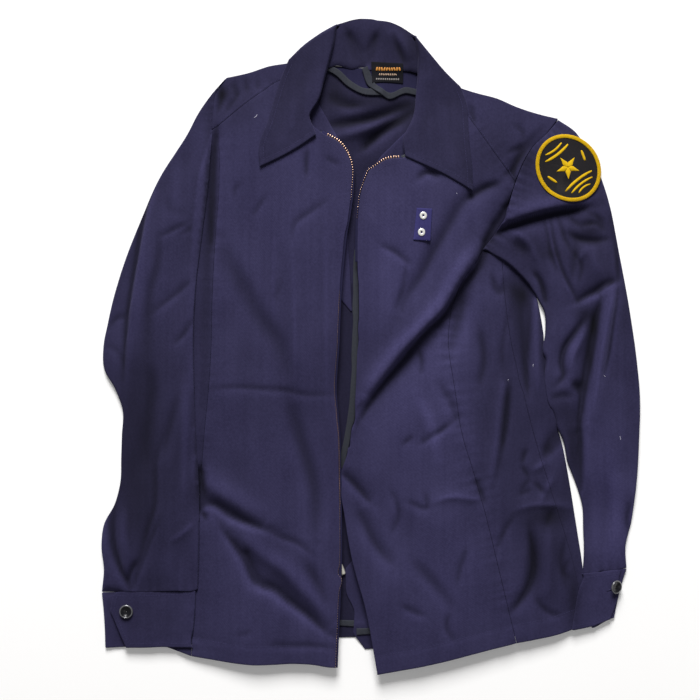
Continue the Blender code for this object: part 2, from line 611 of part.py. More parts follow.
# solids
def inward(verts, border, distance_in):
    """Border points moved into the wall, along the mean of their two edges' normals."""
    run = verts[border[:, 1]] - verts[border[:, 0]]
    normal = np.c_[-run[:, 1], run[:, 0]] / np.hypot(*run.T)[:, None]
    total = np.zeros_like(verts)
    np.add.at(total, border[:, 0], normal)
    np.add.at(total, border[:, 1], normal)
    size = np.hypot(*total.T)
    return verts + distance_in * total / np.where(size > 0, size, 1)[:, None]


def is_on(point_a, point_b, line):
    """Whether a short edge lies along a line."""
    middle = (np.asarray(point_a) + point_b) / 2
    return distance(np.array([point_a, middle, point_b]), line).max() < ON_LINE


def plain_triangles(verts, layer):
    """A flat wall's triangles from its border alone."""
    rim = sorted(layer.rim)
    place = {v: i for i, v in enumerate(rim)}
    edges = [(place[a], place[b]) for a, b in layer.border.tolist()]
    found, _, faces, origin, _, _ = delaunay_2d_cdt([Vector(verts[v]) for v in rim], edges, [], 0, PLAIN_MERGE)
    back = [rim[ids[0]] for ids in origin]
    flat = np.array([[back[i] for i in face] for face in faces])
    flat = flat[inside(verts[flat].mean(1), loop_points(verts, layer.border))]
    return counter_clockwise(verts, flat)


def loop_points(verts, border):
    """Border edges chained into one closed outline."""
    after = dict(border.tolist())
    start = here = border[0, 0]
    loop = [start]
    while after[here] != start:
        here = after[here]
        loop.append(here)
    return verts[loop]


def solid(piece, verts, resting, lines):
    """Points and faces of a piece: its walls, joined round their folded edges."""
    points, faces, index = [], [], {}

    def point(key, xy, z):
        if key not in index:
            index[key] = len(points)
            points.append((xy[0], xy[1], z))
        return index[key]

    folded = {}
    for number, wall in enumerate(piece.walls):
        layer = resting[id(wall)][0]
        for a, b in layer.border.tolist():
            for fold in piece.folds:
                if is_on(verts[a], verts[b], lines[fold]):
                    folded.setdefault((fold, min(a, b), max(a, b)), []).append((number, a, b))
    pairs = {key: ends for key, ends in folded.items() if len(ends) == 2}
    on_fold = {(number, edge[0], edge[1]) for ends in pairs.values() for number, *edge in ends}
    fold_points = {(number, v) for ends in pairs.values() for number, a, b in ends for v in (a, b)}
    lower_of = {min(number for number, _, _ in ends) for ends in pairs.values()}

    for number, wall in enumerate(piece.walls):
        layer, low, top = resting[id(wall)]
        outer = inward(verts, layer.border, SEAM_GAP / 2)
        inner = inward(verts, layer.border, SEAM_GAP / 2 + piece.thick)
        tris = plain_triangles(verts, layer) if wall.plain else layer.tris

        def under(v):
            at = inner if (number, v) in fold_points and number not in lower_of else outer
            return point((number, "low", v), at[v], low[v])

        def over(v):
            at = inner if (number, v) in fold_points and number in lower_of else outer
            return point((number, "top", v), at[v], top[v])

        for a, b, c in tris.tolist():
            faces.append((over(a), over(b), over(c)))
            faces.append((under(c), under(b), under(a)))
        for a, b in layer.border.tolist():
            if (number, a, b) not in on_fold:
                faces.append((under(a), under(b), over(b), over(a)))

    ends = {}
    for two in pairs.values():
        two.sort()
        (lower, a, b), (upper, _, _) = two
        at_a, at_b = ([index[(number, end, v)] for number in (lower, upper) for end in ("low", "top")]
                      for v in (a, b))
        (a0, a1, a2, a3), (b0, b1, b2, b3) = at_a, at_b
        faces += [(a0, b0, b3, a3), (b1, a1, a2, b2)]
        for v, corners, first in ((a, at_a, True), (b, at_b, False)):
            key = (lower, upper, v)
            if key in ends:
                ends.pop(key)
            else:
                ends[key] = corners[::-1] if first else corners
    faces += [tuple(corners) for corners in ends.values()]
    return points, faces


def add_object(name, finish, points, faces):
    """A named object of one closed mesh, in metres, with its own material."""
    mesh = bpy.data.meshes.new(name)
    mesh.from_pydata((points * MM).tolist(), [], faces)
    work = bmesh.new()
    work.from_mesh(mesh)
    bmesh.ops.triangulate(work, faces=work.faces)
    work.to_mesh(mesh)
    work.free()
    color, roughness, metallic = FINISHES[finish]
    material = bpy.data.materials.new(name)
    material.use_nodes = True
    shader = material.node_tree.nodes["Principled BSDF"]
    shader.inputs["Base Color"].default_value = (*color, 1)
    shader.inputs["Roughness"].default_value = roughness
    shader.inputs["Metallic"].default_value = metallic
    mesh.materials.append(material)
    mesh.shade_smooth()
    mesh.set_sharp_from_angle(angle=math.radians(SHARP_ANGLE))
    bpy.context.scene.collection.objects.link(bpy.data.objects.new(name, mesh))
    return len(mesh.polygons)


def build():
    """The whole jacket."""
    for old in list(bpy.data.objects):
        bpy.data.objects.remove(old, do_unlink=True)
    lines = seam_lines()
    pieces = body_pieces(lines) + inside_pieces(lines) + collar_pieces(lines) + trim_pieces()
    pieces += arm_pieces(lines, "right", "sleeve_r", ("armhole_r",), ("yoke_right",))
    pieces += arm_pieces(lines, "left", "sleeve_l", ("armhole_l", "armhole_low_l"), ("yoke_left", "front_left"))
    loops = [wall.outline for piece in pieces for wall in piece.walls]
    loops += [wall.hole for piece in pieces for wall in piece.walls if wall.hole is not None]
    loops += [ring for piece in pieces for ring in piece.extra]
    verts, tris = make_lattice(loops, fold_lines())
    tris = counter_clockwise(verts, tris)
    resting = lay(pieces, verts, tris, lines)
    solids = [(piece, *solid(piece, verts, resting, lines)) for piece in pieces]
    everything = np.vstack([points for _, points, _ in solids])
    centre = (everything.min(0) + everything.max(0)) / 2 * (1, 1, 0)
    total = 0
    for piece, points, faces in solids:
        total += add_object(piece.name, piece.finish, np.array(points) - centre, faces)
    print("pieces", len(pieces), "lattice points", len(verts), "triangles", total)


build()
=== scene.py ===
import math

import bpy
import numpy as np
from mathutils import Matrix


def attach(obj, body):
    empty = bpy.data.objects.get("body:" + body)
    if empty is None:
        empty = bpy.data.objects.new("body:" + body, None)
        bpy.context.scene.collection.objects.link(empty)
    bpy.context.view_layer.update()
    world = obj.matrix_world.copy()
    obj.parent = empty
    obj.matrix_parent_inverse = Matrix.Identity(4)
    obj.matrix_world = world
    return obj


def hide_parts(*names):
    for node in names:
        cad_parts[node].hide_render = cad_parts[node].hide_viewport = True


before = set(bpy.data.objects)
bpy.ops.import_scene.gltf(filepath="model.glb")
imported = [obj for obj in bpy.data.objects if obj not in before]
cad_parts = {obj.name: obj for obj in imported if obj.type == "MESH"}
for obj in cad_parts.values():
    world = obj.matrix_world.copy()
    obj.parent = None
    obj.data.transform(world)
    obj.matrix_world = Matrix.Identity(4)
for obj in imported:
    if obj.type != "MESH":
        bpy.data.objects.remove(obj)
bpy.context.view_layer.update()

mm = 0.001

# shared sizes: tables and heights are in millimetres, meshes in metres
jacket = {
    "cloth": 0.9,            # one cloth
    "collarCloth": 1.9,      # two cloths and interlining
    "trim": 0.7,             # tapes and bindings
    "badge": 1.0,            # badge tab, and the ground of the shoulder patch
    "ribbon": 0.6,           # label
    "layGap": 0.45,          # air between a cloth and what it lies on
    "layTurns": 6,           # turns of settling when a cloth is laid
    "cell": 1.6,             # spacing of the height field
    "halfWidth": 332.0,      # reach of the height field to each side
    "halfLength": 396.0,
    "gridStep": 2.5,         # spacing of points on a panel
    "trimStep": 1.8,         # the same on bindings and tapes
    "insideStep": 2.4,       # the same on facings
    "smallStep": 1.5,        # the same on the tab and the label
    "tapeBelow": 1.6,        # top of the zip's tapes, below the top of the fronts
    "edgeRows": (0.5, 1.2, 2.2, 3.6),                 # rows of points near a panel's edges
    "foldEdge": 1.9,         # height of an upper layer over a folded edge
    "foldHeight": 1.95,      # height of a fold of 1 in the tables of body and sleeves
    "hem": 21.0,             # depth of the turned-up hems
    "weld": 0.002,           # points closer than this are one
    "nodeWeld": 0.004,       # the same on the solids
}
clothThick, collarThick, trimThick = jacket["cloth"], jacket["collarCloth"], jacket["trim"]


# lines and outlines

def smoothLine(knots, step=3.0):
    # cubic through the knots, read at equal steps: p = hermite(knots, slopes, chord)
    knots = np.asarray(knots, float)
    chord = np.r_[0, np.cumsum(np.hypot(*np.diff(knots[:, :2], axis=0).T))]
    slope = np.gradient(knots, chord, axis=0)
    at = np.linspace(0, chord[-1], max(3, math.ceil(chord[-1] / step) + 1))
    i = np.clip(np.searchsorted(chord, at, "right") - 1, 0, len(knots) - 2)
    run = (chord[i + 1] - chord[i])[:, None]
    t = (at[:, None] - chord[i][:, None]) / run
    ends = (1 + 2 * t) * (1 - t) ** 2 * knots[i] + t * t * (3 - 2 * t) * knots[i + 1]
    return ends + run * t * (1 - t) * ((1 - t) * slope[i] - t * slope[i + 1])


def lengthAlong(line):
    # running length: the sum of the steps up to each point
    return np.r_[0, np.cumsum(np.hypot(*np.diff(line[:, :2], axis=0).T))]


def readAt(line, at):
    # points of a line at fractions of its length
    run = lengthAlong(line)
    run /= run[-1]
    return np.stack([np.interp(at, run, line[:, k]) for k in range(line.shape[1])], 1)


def leftOf(line):
    # unit normals on the left of a line: its direction, turned by a quarter
    along = np.gradient(line[:, :2], axis=0)
    along /= np.maximum(np.hypot(*along.T), 1e-9)[:, None]
    return np.c_[-along[:, 1], along[:, 0]]


def offsetLine(line, offset):
    # moved to the left of its direction: p + offset * normal
    return line[:, :2] + offset * leftOf(line)


def awayFrom(x, y, line):
    # distance to the nearest foot on a line, its side (left +1) and its length along the line
    best = np.full(np.shape(x), 1e9)
    side = np.ones(np.shape(x))
    along = np.zeros(np.shape(x))
    run = lengthAlong(line)
    for k, ((ax, ay), (bx, by)) in enumerate(zip(line[:-1, :2], line[1:, :2])):
        dx, dy = bx - ax, by - ay
        size = max(dx * dx + dy * dy, 1e-9)
        t = np.clip(((x - ax) * dx + (y - ay) * dy) / size, 0, 1)
        ox, oy = x - ax - t * dx, y - ay - t * dy
        far = np.hypot(ox, oy)
        near = far < best
        best = np.where(near, far, best)
        side = np.where(near, np.where(dx * oy - dy * ox >= 0, 1, -1), side)
        along = np.where(near, run[k] + t * math.sqrt(size), along)
    return best, side, along


def nearestPoint(line, place):
    # number of the line's point nearest to a place
    return int(np.hypot(*(line[:, :2] - place).T).argmin())


def atHeight(line, y):
    # number of the line's point nearest to a height
    return int(np.abs(line[:, 1] - y).argmin())


def upwardOnly(line):
    # the points that lie higher than all before them, and the last one
    higher = line[:, 1] >= np.maximum.accumulate(line[:, 1])
    higher[-1] = True
    return line[higher]


def areaOf(loop):
    # half the sum of x0 * y1 - x1 * y0
    x, y = loop[:, 0], loop[:, 1]
    return 0.5 * float((x * np.roll(y, -1) - np.roll(x, -1) * y).sum())


def welded(points, size):
    # first of each cluster of points that share a cell of that size, and the cluster of every point
    _, first, cluster = np.unique(np.round(points / size).astype(np.int64), axis=0, return_index=True,
                                  return_inverse=True)
    return first, cluster.reshape(-1)


def rimLoops(points, tris):
    # outlines of a sheet of triangles: edges with a triangle on one side only, chained head to tail
    edges = np.vstack([tris[:, [0, 1]], tris[:, [1, 2]], tris[:, [2, 0]]]).tolist()
    pairs = {tuple(edge) for edge in edges}
    after = {}
    for i, j in edges:
        if (j, i) not in pairs:
            after.setdefault(i, []).append(j)
    loops, chain = [], []
    while after:
        here = chain.pop() if chain else next(iter(after))
        while here in after:
            chain.append(here)
            here = after[here].pop()
            if not after[chain[-1]]:
                del after[chain[-1]]
            if here in chain:                         # closed: cut this loop off and go on from there
                loops.append(points[chain[chain.index(here):]])
                del chain[chain.index(here):]
    return loops


def wallLoops(node):
    # outlines of a node's upward walls, lowest wall first, in millimetres
    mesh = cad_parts[node].data
    points = np.empty(len(mesh.vertices) * 3, np.float32)
    mesh.vertices.foreach_get("co", points)
    corners = np.empty(len(mesh.loops), np.int32)
    mesh.loops.foreach_get("vertex_index", corners)
    points = points.reshape(-1, 3).astype(float) / mm
    first, weld = welded(points, jacket["nodeWeld"])
    points, tris = points[first], weld[corners].reshape(-1, 3)
    a, b, c = (points[tris[:, k]] for k in range(3))
    normal = np.cross(b - a, c - a)
    tris = tris[normal[:, 2] > 0.01 * np.linalg.norm(normal, axis=1)]
    group = np.arange(len(points))
    while True:                                   # spread the lowest number through each wall
        low = group[tris].min(1)
        new = group.copy()
        np.minimum.at(new, tris.reshape(-1), np.repeat(low, 3))
        if (new == group).all():
            break
        group = new
    loops = [loop for number in np.unique(group[tris[:, 0]])
             for loop in rimLoops(points, tris[group[tris[:, 0]] == number])]
    crumb = 0.02 * max(areaOf(loop) for loop in loops)
    return sorted([loop for loop in loops if areaOf(loop) > crumb], key=lambda loop: loop[:, 2].mean())


def sideLines(loop, corners, bends=()):
    # the outline cut at its points nearest to four corners, each side smoothed between its bends
    spots, breaks = ([nearestPoint(loop, place) for place in places] for places in (corners, bends))
    sides = []
    for start, stop in zip(spots, spots[1:] + spots[:1]):
        if start == stop:
            sides.append(None)
            continue
        run = np.arange(start, stop + 1 if stop > start else stop + len(loop) + 1)
        cuts = [0] + [k for k in range(1, len(run) - 1) if run[k] % len(loop) in breaks] + [len(run) - 1]
        parts = [smoothLine(loop[run[i:j + 1] % len(loop), :2], 2.0) for i, j in zip(cuts, cuts[1:])]
        sides.append(np.vstack([parts[0]] + [part[1:] for part in parts[1:]]))
    for k in range(4):
        if sides[k] is None:                      # a tip: cut off two millimetres from its end
            sides[k - 1], sides[(k + 1) % 4] = sides[k - 1][:-1], sides[(k + 1) % 4][1:]
            sides[k] = np.array([sides[k - 1][-1], sides[(k + 1) % 4][0]])
    return sides


# height field of the layers
nx = int(2 * jacket["halfWidth"] / jacket["cell"]) + 1
ny = int(2 * jacket["halfLength"] / jacket["cell"]) + 1
gridX, gridY = np.meshgrid(np.linspace(-jacket["halfWidth"], jacket["halfWidth"], nx),
                           np.linspace(-jacket["halfLength"], jacket["halfLength"], ny))
waveX, waveY = np.meshgrid(np.fft.rfftfreq(nx, jacket["cell"]), np.fft.fftfreq(ny, jacket["cell"]))


def blur(field, size):
    # Gaussian blur of that standard deviation, as a product of its spectrum
    low = np.exp(-2 * (math.pi * size) ** 2 * (waveX ** 2 + waveY ** 2))
    return np.fft.irfft2(np.fft.rfft2(field) * low, s=field.shape)


def spread(field, mask, size):
    # blur that reads only cells under the mask: blur(f * m) / blur(m)
    weight = blur(mask.astype(float), size)
    return blur(field * mask, size) / np.maximum(weight, 1e-6)


def covered(loop):
    # cells inside a closed outline, by even-odd crossings
    odd = np.zeros(gridX.shape, bool)
    for (ax, ay), (bx, by) in zip(loop[:, :2], np.roll(loop, -1, axis=0)[:, :2]):
        if ay != by:
            crosses = (ay > gridY) != (by > gridY)
            odd ^= crosses & (gridX < ax + (gridY - ay) * (bx - ax) / (by - ay))
    return odd


def readField(field, places):
    # bilinear reading of a height field at places (x, y)
    u = np.clip((places[..., 0] + jacket["halfWidth"]) / (gridX[0, 1] - gridX[0, 0]), 0, nx - 1.001)
    v = np.clip((places[..., 1] + jacket["halfLength"]) / (gridY[1, 0] - gridY[0, 0]), 0, ny - 1.001)
    i, j = u.astype(int), v.astype(int)
    u, v = u - i, v - j
    low = field[j, i] * (1 - u) + field[j, i + 1] * u
    high = field[j + 1, i] * (1 - u) + field[j + 1, i + 1] * u
    return low * (1 - v) + high * v


def unevenness(seed, size, stretch=1.0):
    # soft random hollows and swells: blurred noise, stretched along y, of unit spread
    noise = np.random.default_rng(seed).standard_normal(gridX.shape)
    low = np.exp(-2 * (math.pi * size) ** 2 * (waveX ** 2 + (stretch * waveY) ** 2))
    soft = np.fft.irfft2(np.fft.rfft2(noise) * low, s=noise.shape)
    return soft / soft.std()


def farFrom(*lines):
    # distance of every cell to the nearest of some lines
    return np.min([awayFrom(gridX, gridY, line)[0] for line in lines], axis=0)


def foldField(folds, unit=jacket["foldHeight"]):
    # sum of folds h * unit * exp(-(d / run)^crisp), each with its own run on the left and the right of its
    # line and faded at its ends; a crisp one has a crease 2 mm wide along its line
    total = np.zeros(gridX.shape)
    for height, left, right, crisp, *knots in folds:
        line = smoothLine(knots, 6.0)
        low, high = line.min(0) - 70, line.max(0) + 70
        i0, i1 = np.searchsorted(gridX[0], (low[0], high[0]))
        j0, j1 = np.searchsorted(gridY[:, 0], (low[1], high[1]))
        x, y = gridX[j0:j1, i0:i1], gridY[j0:j1, i0:i1]
        far, side, along = awayFrom(x, y, line)
        run = np.where(side > 0, left, right)
        share = np.clip(along / lengthAlong(line)[-1], 0.02, 0.98)
        bell = np.exp(-(far / run) ** crisp) + (0.22 * np.exp(-far / 2.2) if crisp < 1.45 else 0)
        total[j0:j1, i0:i1] += height * bell * np.sqrt(np.sin(share * math.pi))
    return unit * total


def pinched(seed, size):
    # small creases where soft noise passes through zero: 0.7 - |noise|
    return 0.7 - np.abs(unevenness(seed, size, 1.5))


def bandField(line, width, height, groove):
    # double cloth along an edge: height up to the width, then a stitched groove
    far = farFrom(line)
    step = 1 / (1 + np.exp(np.clip((far - width) / 0.8, -30, 30)))
    return height * step - groove * np.exp(-((far - width) / 1.6) ** 2)


def puckerField(line, height, pitch, reach, seed):
    # ripples across a seam: h * exp(-d / reach) * sin(2 pi s / pitch + wander(s))
    far, _, along = awayFrom(gridX, gridY, line)
    wander = np.interp(along, np.linspace(0, 700, 60), np.random.default_rng(seed).uniform(-3, 3, 60))
    swell = np.interp(along, np.linspace(0, 700, 45), np.random.default_rng(seed + 1).uniform(0.2, 1, 45))
    return height * swell * np.exp(-far / reach) * np.sin(2 * math.pi * along / pitch + wander)


def softSpots(spots):
    # sum of amount * exp(-((x - cx) / rx)^2 - ((y - cy) / ry)^2)
    return sum(amount * np.exp(-((gridX - cx) / rx) ** 2 - ((gridY - cy) / ry) ** 2)
               for cx, cy, rx, ry, amount in spots)


# painted light and shade on the cloth, paler where more light falls and darker in shadows by edges and folds:
# x, y, reach across and along, amount (below 0 it is darker)
paintedLightSpots = (
    # body
    (30, 90, 80, 90, 0.28), (70, -80, 60, 80, 0.35), (-110, 150, 60, 70, 0.1), (-110, 0, 70, 110, -0.12),
    (-100, -290, 90, 60, 0.05), (80, -270, 90, 80, 0.15), (60, 150, 50, 90, 0.08), (150, 220, 60, 50, -0.35),
    (130, 120, 30, 20, -0.25), (-197, -165, 7, 22, -0.5), (-187, 165, 5, 75, -0.4), (-171, 291, 7, 9, -0.5),
    (-160, 285, 50, 36, -0.35),
    # left side panel
    (155, -60, 45, 120, -0.38), (166, 64, 13, 15, -0.4), (170, 36, 11, 36, -0.3), (178, 58, 7, 14, -0.35),
    (200, -196, 26, 12, -0.3), (212, -198, 10, 12, -0.1), (186, -250, 10, 34, -0.25),
    (176, 116, 18, 12, -0.2), (215, -230, 50, 90, -0.45), (234, -290, 6, 34, -0.4),
    (222, -70, 16, 30, -0.3), (214, -106, 6, 7, -0.35), (206, -116, 6, 7, -0.4),
    # right sleeve
    (-265, -60, 30, 100, -0.45), (-200, -120, 14, 130, 0.1), (-265, -190, 36, 90, -0.45),
    (-230, -120, 40, 160, -0.2), (-250, 160, 60, 80, -0.2), (-255, -320, 70, 30, -0.15),
    (-190, 40, 6, 110, -0.2),
    # left sleeve
    (240, 110, 60, 50, -0.4), (275, -200, 45, 80, 0.5), (257, 24, 4, 16, -0.6), (252, -10, 4, 22, -0.6),
    (247, 38, 14, 10, -0.4), (241, -42, 9, 9, -0.4), (250, 22, 10, 14, -0.4), (205, 106, 14, 7, -0.25),
    (255, 148, 16, 8, -0.2), (232, -120, 9, 44, -0.5), (252, 136, 20, 11, -0.3), (178, 214, 11, 18, -0.35),
    # collar
    (-20, 340, 70, 40, -0.1), (48, 342, 16, 22, -0.4),
)
paintedLight = softSpots(paintedLightSpots)
# most crumpled on the left sleeve and side, least on the right front
crumpled = 0.22 + softSpots(((235, 105, 50, 75, 0.8), (180, 0, 36, 140, 0.8), (90, -170, 90, 100, 0.5),
                             (-255, -190, 45, 90, 0.5), (215, -220, 50, 90, 0.6), (150, 210, 60, 50, 0.4)))
ground = np.zeros(gridX.shape)      # top of all that is laid so far
tops = {}                           # upper surface of each laid group
# painted shade in hollows and painted light on ridges of each laid group, from its height over its
# surroundings
paintedCreaseShade = {}                          # height of each laid group over its surroundings


def layGroup(name, loops, wanted=0.0, relief=0.0, wall=clothThick, drape=5.0):
    # cloth laid down: s = max(wanted, floor), settled by turns of blur and floor, plus its relief
    mask = np.zeros(gridX.shape, bool)
    for loop in loops:
        mask |= covered(loop)
    floor = np.where(mask, np.where(ground > 0, ground + jacket["layGap"], 0), 0)
    lying = np.maximum(np.where(mask, wanted, 0), floor)
    for _ in range(jacket["layTurns"]):
        lying = np.maximum(spread(lying, mask, drape), floor)
    lying = np.maximum(lying + relief, floor)
    near = spread(lying, mask, 1.3)
    far = spread(lying, mask, 6.0)
    lying = np.where(mask, near, np.where(blur(mask.astype(float), 1.3) > 1e-3, near, far))
    top = lying + wall
    ground[mask] = np.maximum(ground, top)[mask]
    tops[name] = top
    # painted shade in hollows and painted light on ridges: the layer's height over its surroundings, at two
    # sizes
    paintedCreaseShade[name] = 0.1 * (lying - spread(lying, mask, 12.0)) + 0.36 * (lying - spread(lying, mask, 3.0))
    print("laid", name, round(float(top[mask].min()), 1), round(float(top[mask].max()), 1))


# panels

def fractions(length, step):
    # 0, the rows near an edge, even steps, and the same rows before 1
    rows = np.array([r for r in jacket["edgeRows"] if r < length * 0.3] or [length * 0.25])
    count = max(2, round((length - 2 * rows[-1]) / step) + 1)
    inner = np.linspace(rows[-1], length - rows[-1], count)
    return np.r_[0, rows[:-1], inner, length - rows[:-1][::-1], length] / length


def coons(sides, uAt, vAt):
    # p = ruled(low, high) + ruled(left, right) - bilinear(corners)
    low, right, high, left = sides
    low, high = readAt(low, uAt), readAt(high[::-1], uAt)
    left, right = readAt(left[::-1], vAt), readAt(right, vAt)
    u, v = uAt[None, :, None], vAt[:, None, None]
    corner = (1 - u) * (1 - v) * low[0] + u * (1 - v) * low[-1] + (1 - u) * v * high[0] + u * v * high[-1]
    return (1 - v) * low[None] + v * high[None] + (1 - u) * left[:, None] + u * right[:, None] - corner


def planOf(sides, step=jacket["gridStep"], uAt=None, vAt=None):
    # grid of a four-sided outline, its points about one step apart
    low, right, high, left = sides
    middle = math.dist(readAt(left, np.array([0.5]))[0], readAt(right, np.array([0.5]))[0])
    if uAt is None:
        uAt = fractions(max(lengthAlong(low)[-1], lengthAlong(high)[-1], middle), step)
    if vAt is None:
        vAt = fractions((lengthAlong(left)[-1] + lengthAlong(right)[-1]) / 2, step)
    return coons(sides, uAt, vAt)


def runs(plan):
    # lengths along each row and column from the left, right, low and high sides
    du = np.hypot(*np.moveaxis(np.diff(plan, axis=1), -1, 0))
    dv = np.hypot(*np.moveaxis(np.diff(plan, axis=0), -1, 0))
    left = np.pad(np.cumsum(du, 1), ((0, 0), (1, 0)))
    low = np.pad(np.cumsum(dv, 0), ((1, 0), (0, 0)))
    return {"l": left, "r": left[:, -1:] - left, "b": low, "t": low[-1:] - low}


def joinSides(sides, number, line):
    # puts a shared line in as one side, and moves its neighbours' ends onto it
    sides = [side.copy() for side in sides]
    sides[number] = line
    sides[number - 1][-1] = line[0]
    sides[(number + 1) % 4][0] = line[-1]
    return sides


borders = {"l": (slice(None), 0), "r": (slice(None), -1), "b": (0,), "t": (-1,)}


def makeWall(plan, group, thick, seams="", partners=None, joins="", down=False, shade=1.0):
    # outer and inner grid of one layer, facing down where it is the lower one. Free edges turn over in 2 mm,
    # seams dip, and a folded side meets its partner layer half way:
    # z = mid + (z - mid) * sqrt(1 - (1 - d / w)^2)
    far = runs(plan)
    sign = -1 if down else 1
    raw = readField(tops[group], plan) - (thick if down else 0)
    free = np.min([far[s] for s in "lrbt" if s not in (partners or {}) and s not in joins + seams]
                  or [np.full(raw.shape, 99.0)], axis=0)
    z = raw - sign * thick * np.interp(free, (0, 0.5, 1.2, 2.4), (0.42, 0.16, 0.05, 0))
    inner = raw - sign * thick * (1 - np.interp(free, (0, 0.5, 1.2), (0.3, 0.08, 0)))
    shift = np.zeros(plan.shape)
    for side in seams:
        z = z - sign * 0.2 * np.exp(-(far[side] / 1.0) ** 2)
    for side, partner in (partners or {}).items():
        other = readField(tops[partner], plan) - (0 if down else thick)
        middle = (raw + other) / 2
        wide = np.clip(1.1 * np.abs(raw - middle), 1.2, 4.5)
        turn = np.sqrt(1 - (1 - np.clip(far[side] / wide, 0, 1)) ** 2)
        z = middle + (z - middle) * turn
        inner = middle + (inner - middle) * turn
        inward = leftOf(plan[borders[side]]) * (1 if side in "rb" else -1)
        inward = inward[:, None] if side in "lr" else inward[None]
        shift += inward * thick * np.exp(-far[side] / 12)[..., None]
    rims = "".join(s for s in "lrbt" if s not in (partners or {}) and s not in joins)
    # painted light and shade in the colour: the painted light spots (not on down walls), painted shade in
    # hollows and light on ridges, and the piece's shade factor
    wearAndShade = 1.0 if down else 1 + readField(paintedLight, plan)
    wearAndShade = shade * wearAndShade * np.clip(1 + readField(paintedCreaseShade[group], plan), 0.4, 1.35)
    return {"outer": np.dstack([plan, z]), "inner": np.dstack([plan + shift, inner]), "down": down,
            "rims": rims, "uv": np.dstack([far["l"], far["b"]]) * mm, "shade": wearAndShade}


def gridQuads(first, rows, columns, turned):
    # four corners of each cell of a grid
    i = first + np.arange(rows * columns).reshape(rows, columns)
    quads = np.stack([i[:-1, :-1], i[:-1, 1:], i[1:, 1:], i[1:, :-1]], -1).reshape(-1, 4)
    return quads[:, ::-1] if turned else quads


def newMesh(name, points, quads, material, uv=None, shade=None):
    # a smooth mesh of one piece from arrays of points (mm), faces, and uv and shade of each point
    points, quads = np.asarray(points, float).reshape(-1, 3), np.asarray(quads)
    first, weld = welded(points, jacket["weld"])
    mesh = bpy.data.meshes.new(name)
    corners = weld[quads]
    mesh.vertices.add(len(first))
    mesh.vertices.foreach_set("co", (points[first] * mm).astype(np.float32).ravel())
    mesh.loops.add(corners.size)
    mesh.loops.foreach_set("vertex_index", corners.astype(np.int32).ravel())
    mesh.polygons.add(len(corners))
    mesh.polygons.foreach_set("loop_start", np.arange(0, corners.size, corners.shape[1], dtype=np.int32))
    mesh.update(calc_edges=True)
    shade = np.ones(len(points)) if shade is None else np.ravel(shade)
    mesh.attributes.new("shade", "FLOAT", "POINT").data.foreach_set("value", shade[first].astype(np.float32))
    if uv is not None:
        layer = mesh.uv_layers.new(name="cloth")
        layer.data.foreach_set("uv", np.asarray(uv, np.float32)[quads].ravel())
    mesh.validate()
    mesh.shade_smooth()
    mesh.materials.append(material)
    piece = bpy.data.objects.new(name, mesh)
    bpy.context.scene.collection.objects.link(piece)
    return piece


def closeFolds(walls):
    # where two walls share an edge, the later one takes the points of the earlier one
    known = []
    for wall in walls:
        for at in [spot for side, spot in borders.items() if side not in wall["rims"]]:
            mine = wall["outer"][at]
            for other, spot, turn in known:
                theirs = other["outer"][spot][turn]
                if len(theirs) == len(mine) and np.abs(theirs - mine).max() < 4:
                    for face in ("outer", "inner"):
                        wall[face][at] = other[face][spot][turn]
            known += [(wall, at, slice(None)), (wall, at, slice(None, None, -1))]


def placed(piece, nodes=()):
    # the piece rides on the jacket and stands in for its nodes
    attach(piece, "root")
    if nodes:
        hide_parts(*nodes)


def makeCloth(node, walls, material, name=None):
    # closed thin shell in place of a node: both faces of each wall, joined round the rims
    closeFolds(walls)
    points, uv, quads, shades, first = [], [], [], [], 0
    for wall in walls:
        rows, columns = wall["outer"].shape[:2]
        count = rows * columns
        number = first + np.arange(count).reshape(rows, columns)
        outer = {"b": number[0], "r": number[:, -1], "t": number[-1, ::-1], "l": number[::-1, 0]}
        quads += [gridQuads(first, rows, columns, wall["down"]),
                  gridQuads(first + count, rows, columns, not wall["down"])]
        for side in wall["rims"]:
            edge = outer[side]
            strip = np.stack([edge[1:], edge[:-1], edge[:-1] + count, edge[1:] + count], -1)
            quads.append(strip[:, ::-1] if wall["down"] else strip)
        points += [wall["outer"].reshape(-1, 3), wall["inner"].reshape(-1, 3)]
        uv += [wall["uv"].reshape(-1, 2)] * 2
        shades += [wall["shade"].ravel()] * 2
        first += 2 * count
    piece = newMesh(name or node + "_cloth", np.vstack(points), np.vstack(quads), material, np.vstack(uv),
                    np.hstack(shades))
    placed(piece, (node,))


# materials

def toLinear(hexColor):
    # sRGB hex to linear RGBA
    parts = [int(hexColor[i:i + 2], 16) / 255 for i in (1, 3, 5)]
    return tuple(c / 12.92 if c <= 0.04045 else ((c + 0.055) / 1.055) ** 2.4 for c in parts) + (1.0,)


def addNode(tree, kind, links=None, **settings):
    # a node; settings are its properties or input values, links its inputs' sources
    node = tree.nodes.new(kind)
    for key, value in settings.items():
        if hasattr(node, key):
            setattr(node, key, value)
        else:
            node.inputs[key.replace("_", " ")].default_value = value
    for key, source in (links or {}).items():
        tree.links.new(source, node.inputs[key])
    return node


def newMaterial(name, **values):
    # a Principled material with constants on its sockets
    material = bpy.data.materials.new(name)
    material.use_nodes = True
    shader = material.node_tree.nodes["Principled BSDF"]
    for key, value in values.items():
        shader.inputs[key.replace("_", " ")].default_value = value
    return material, material.node_tree, shader


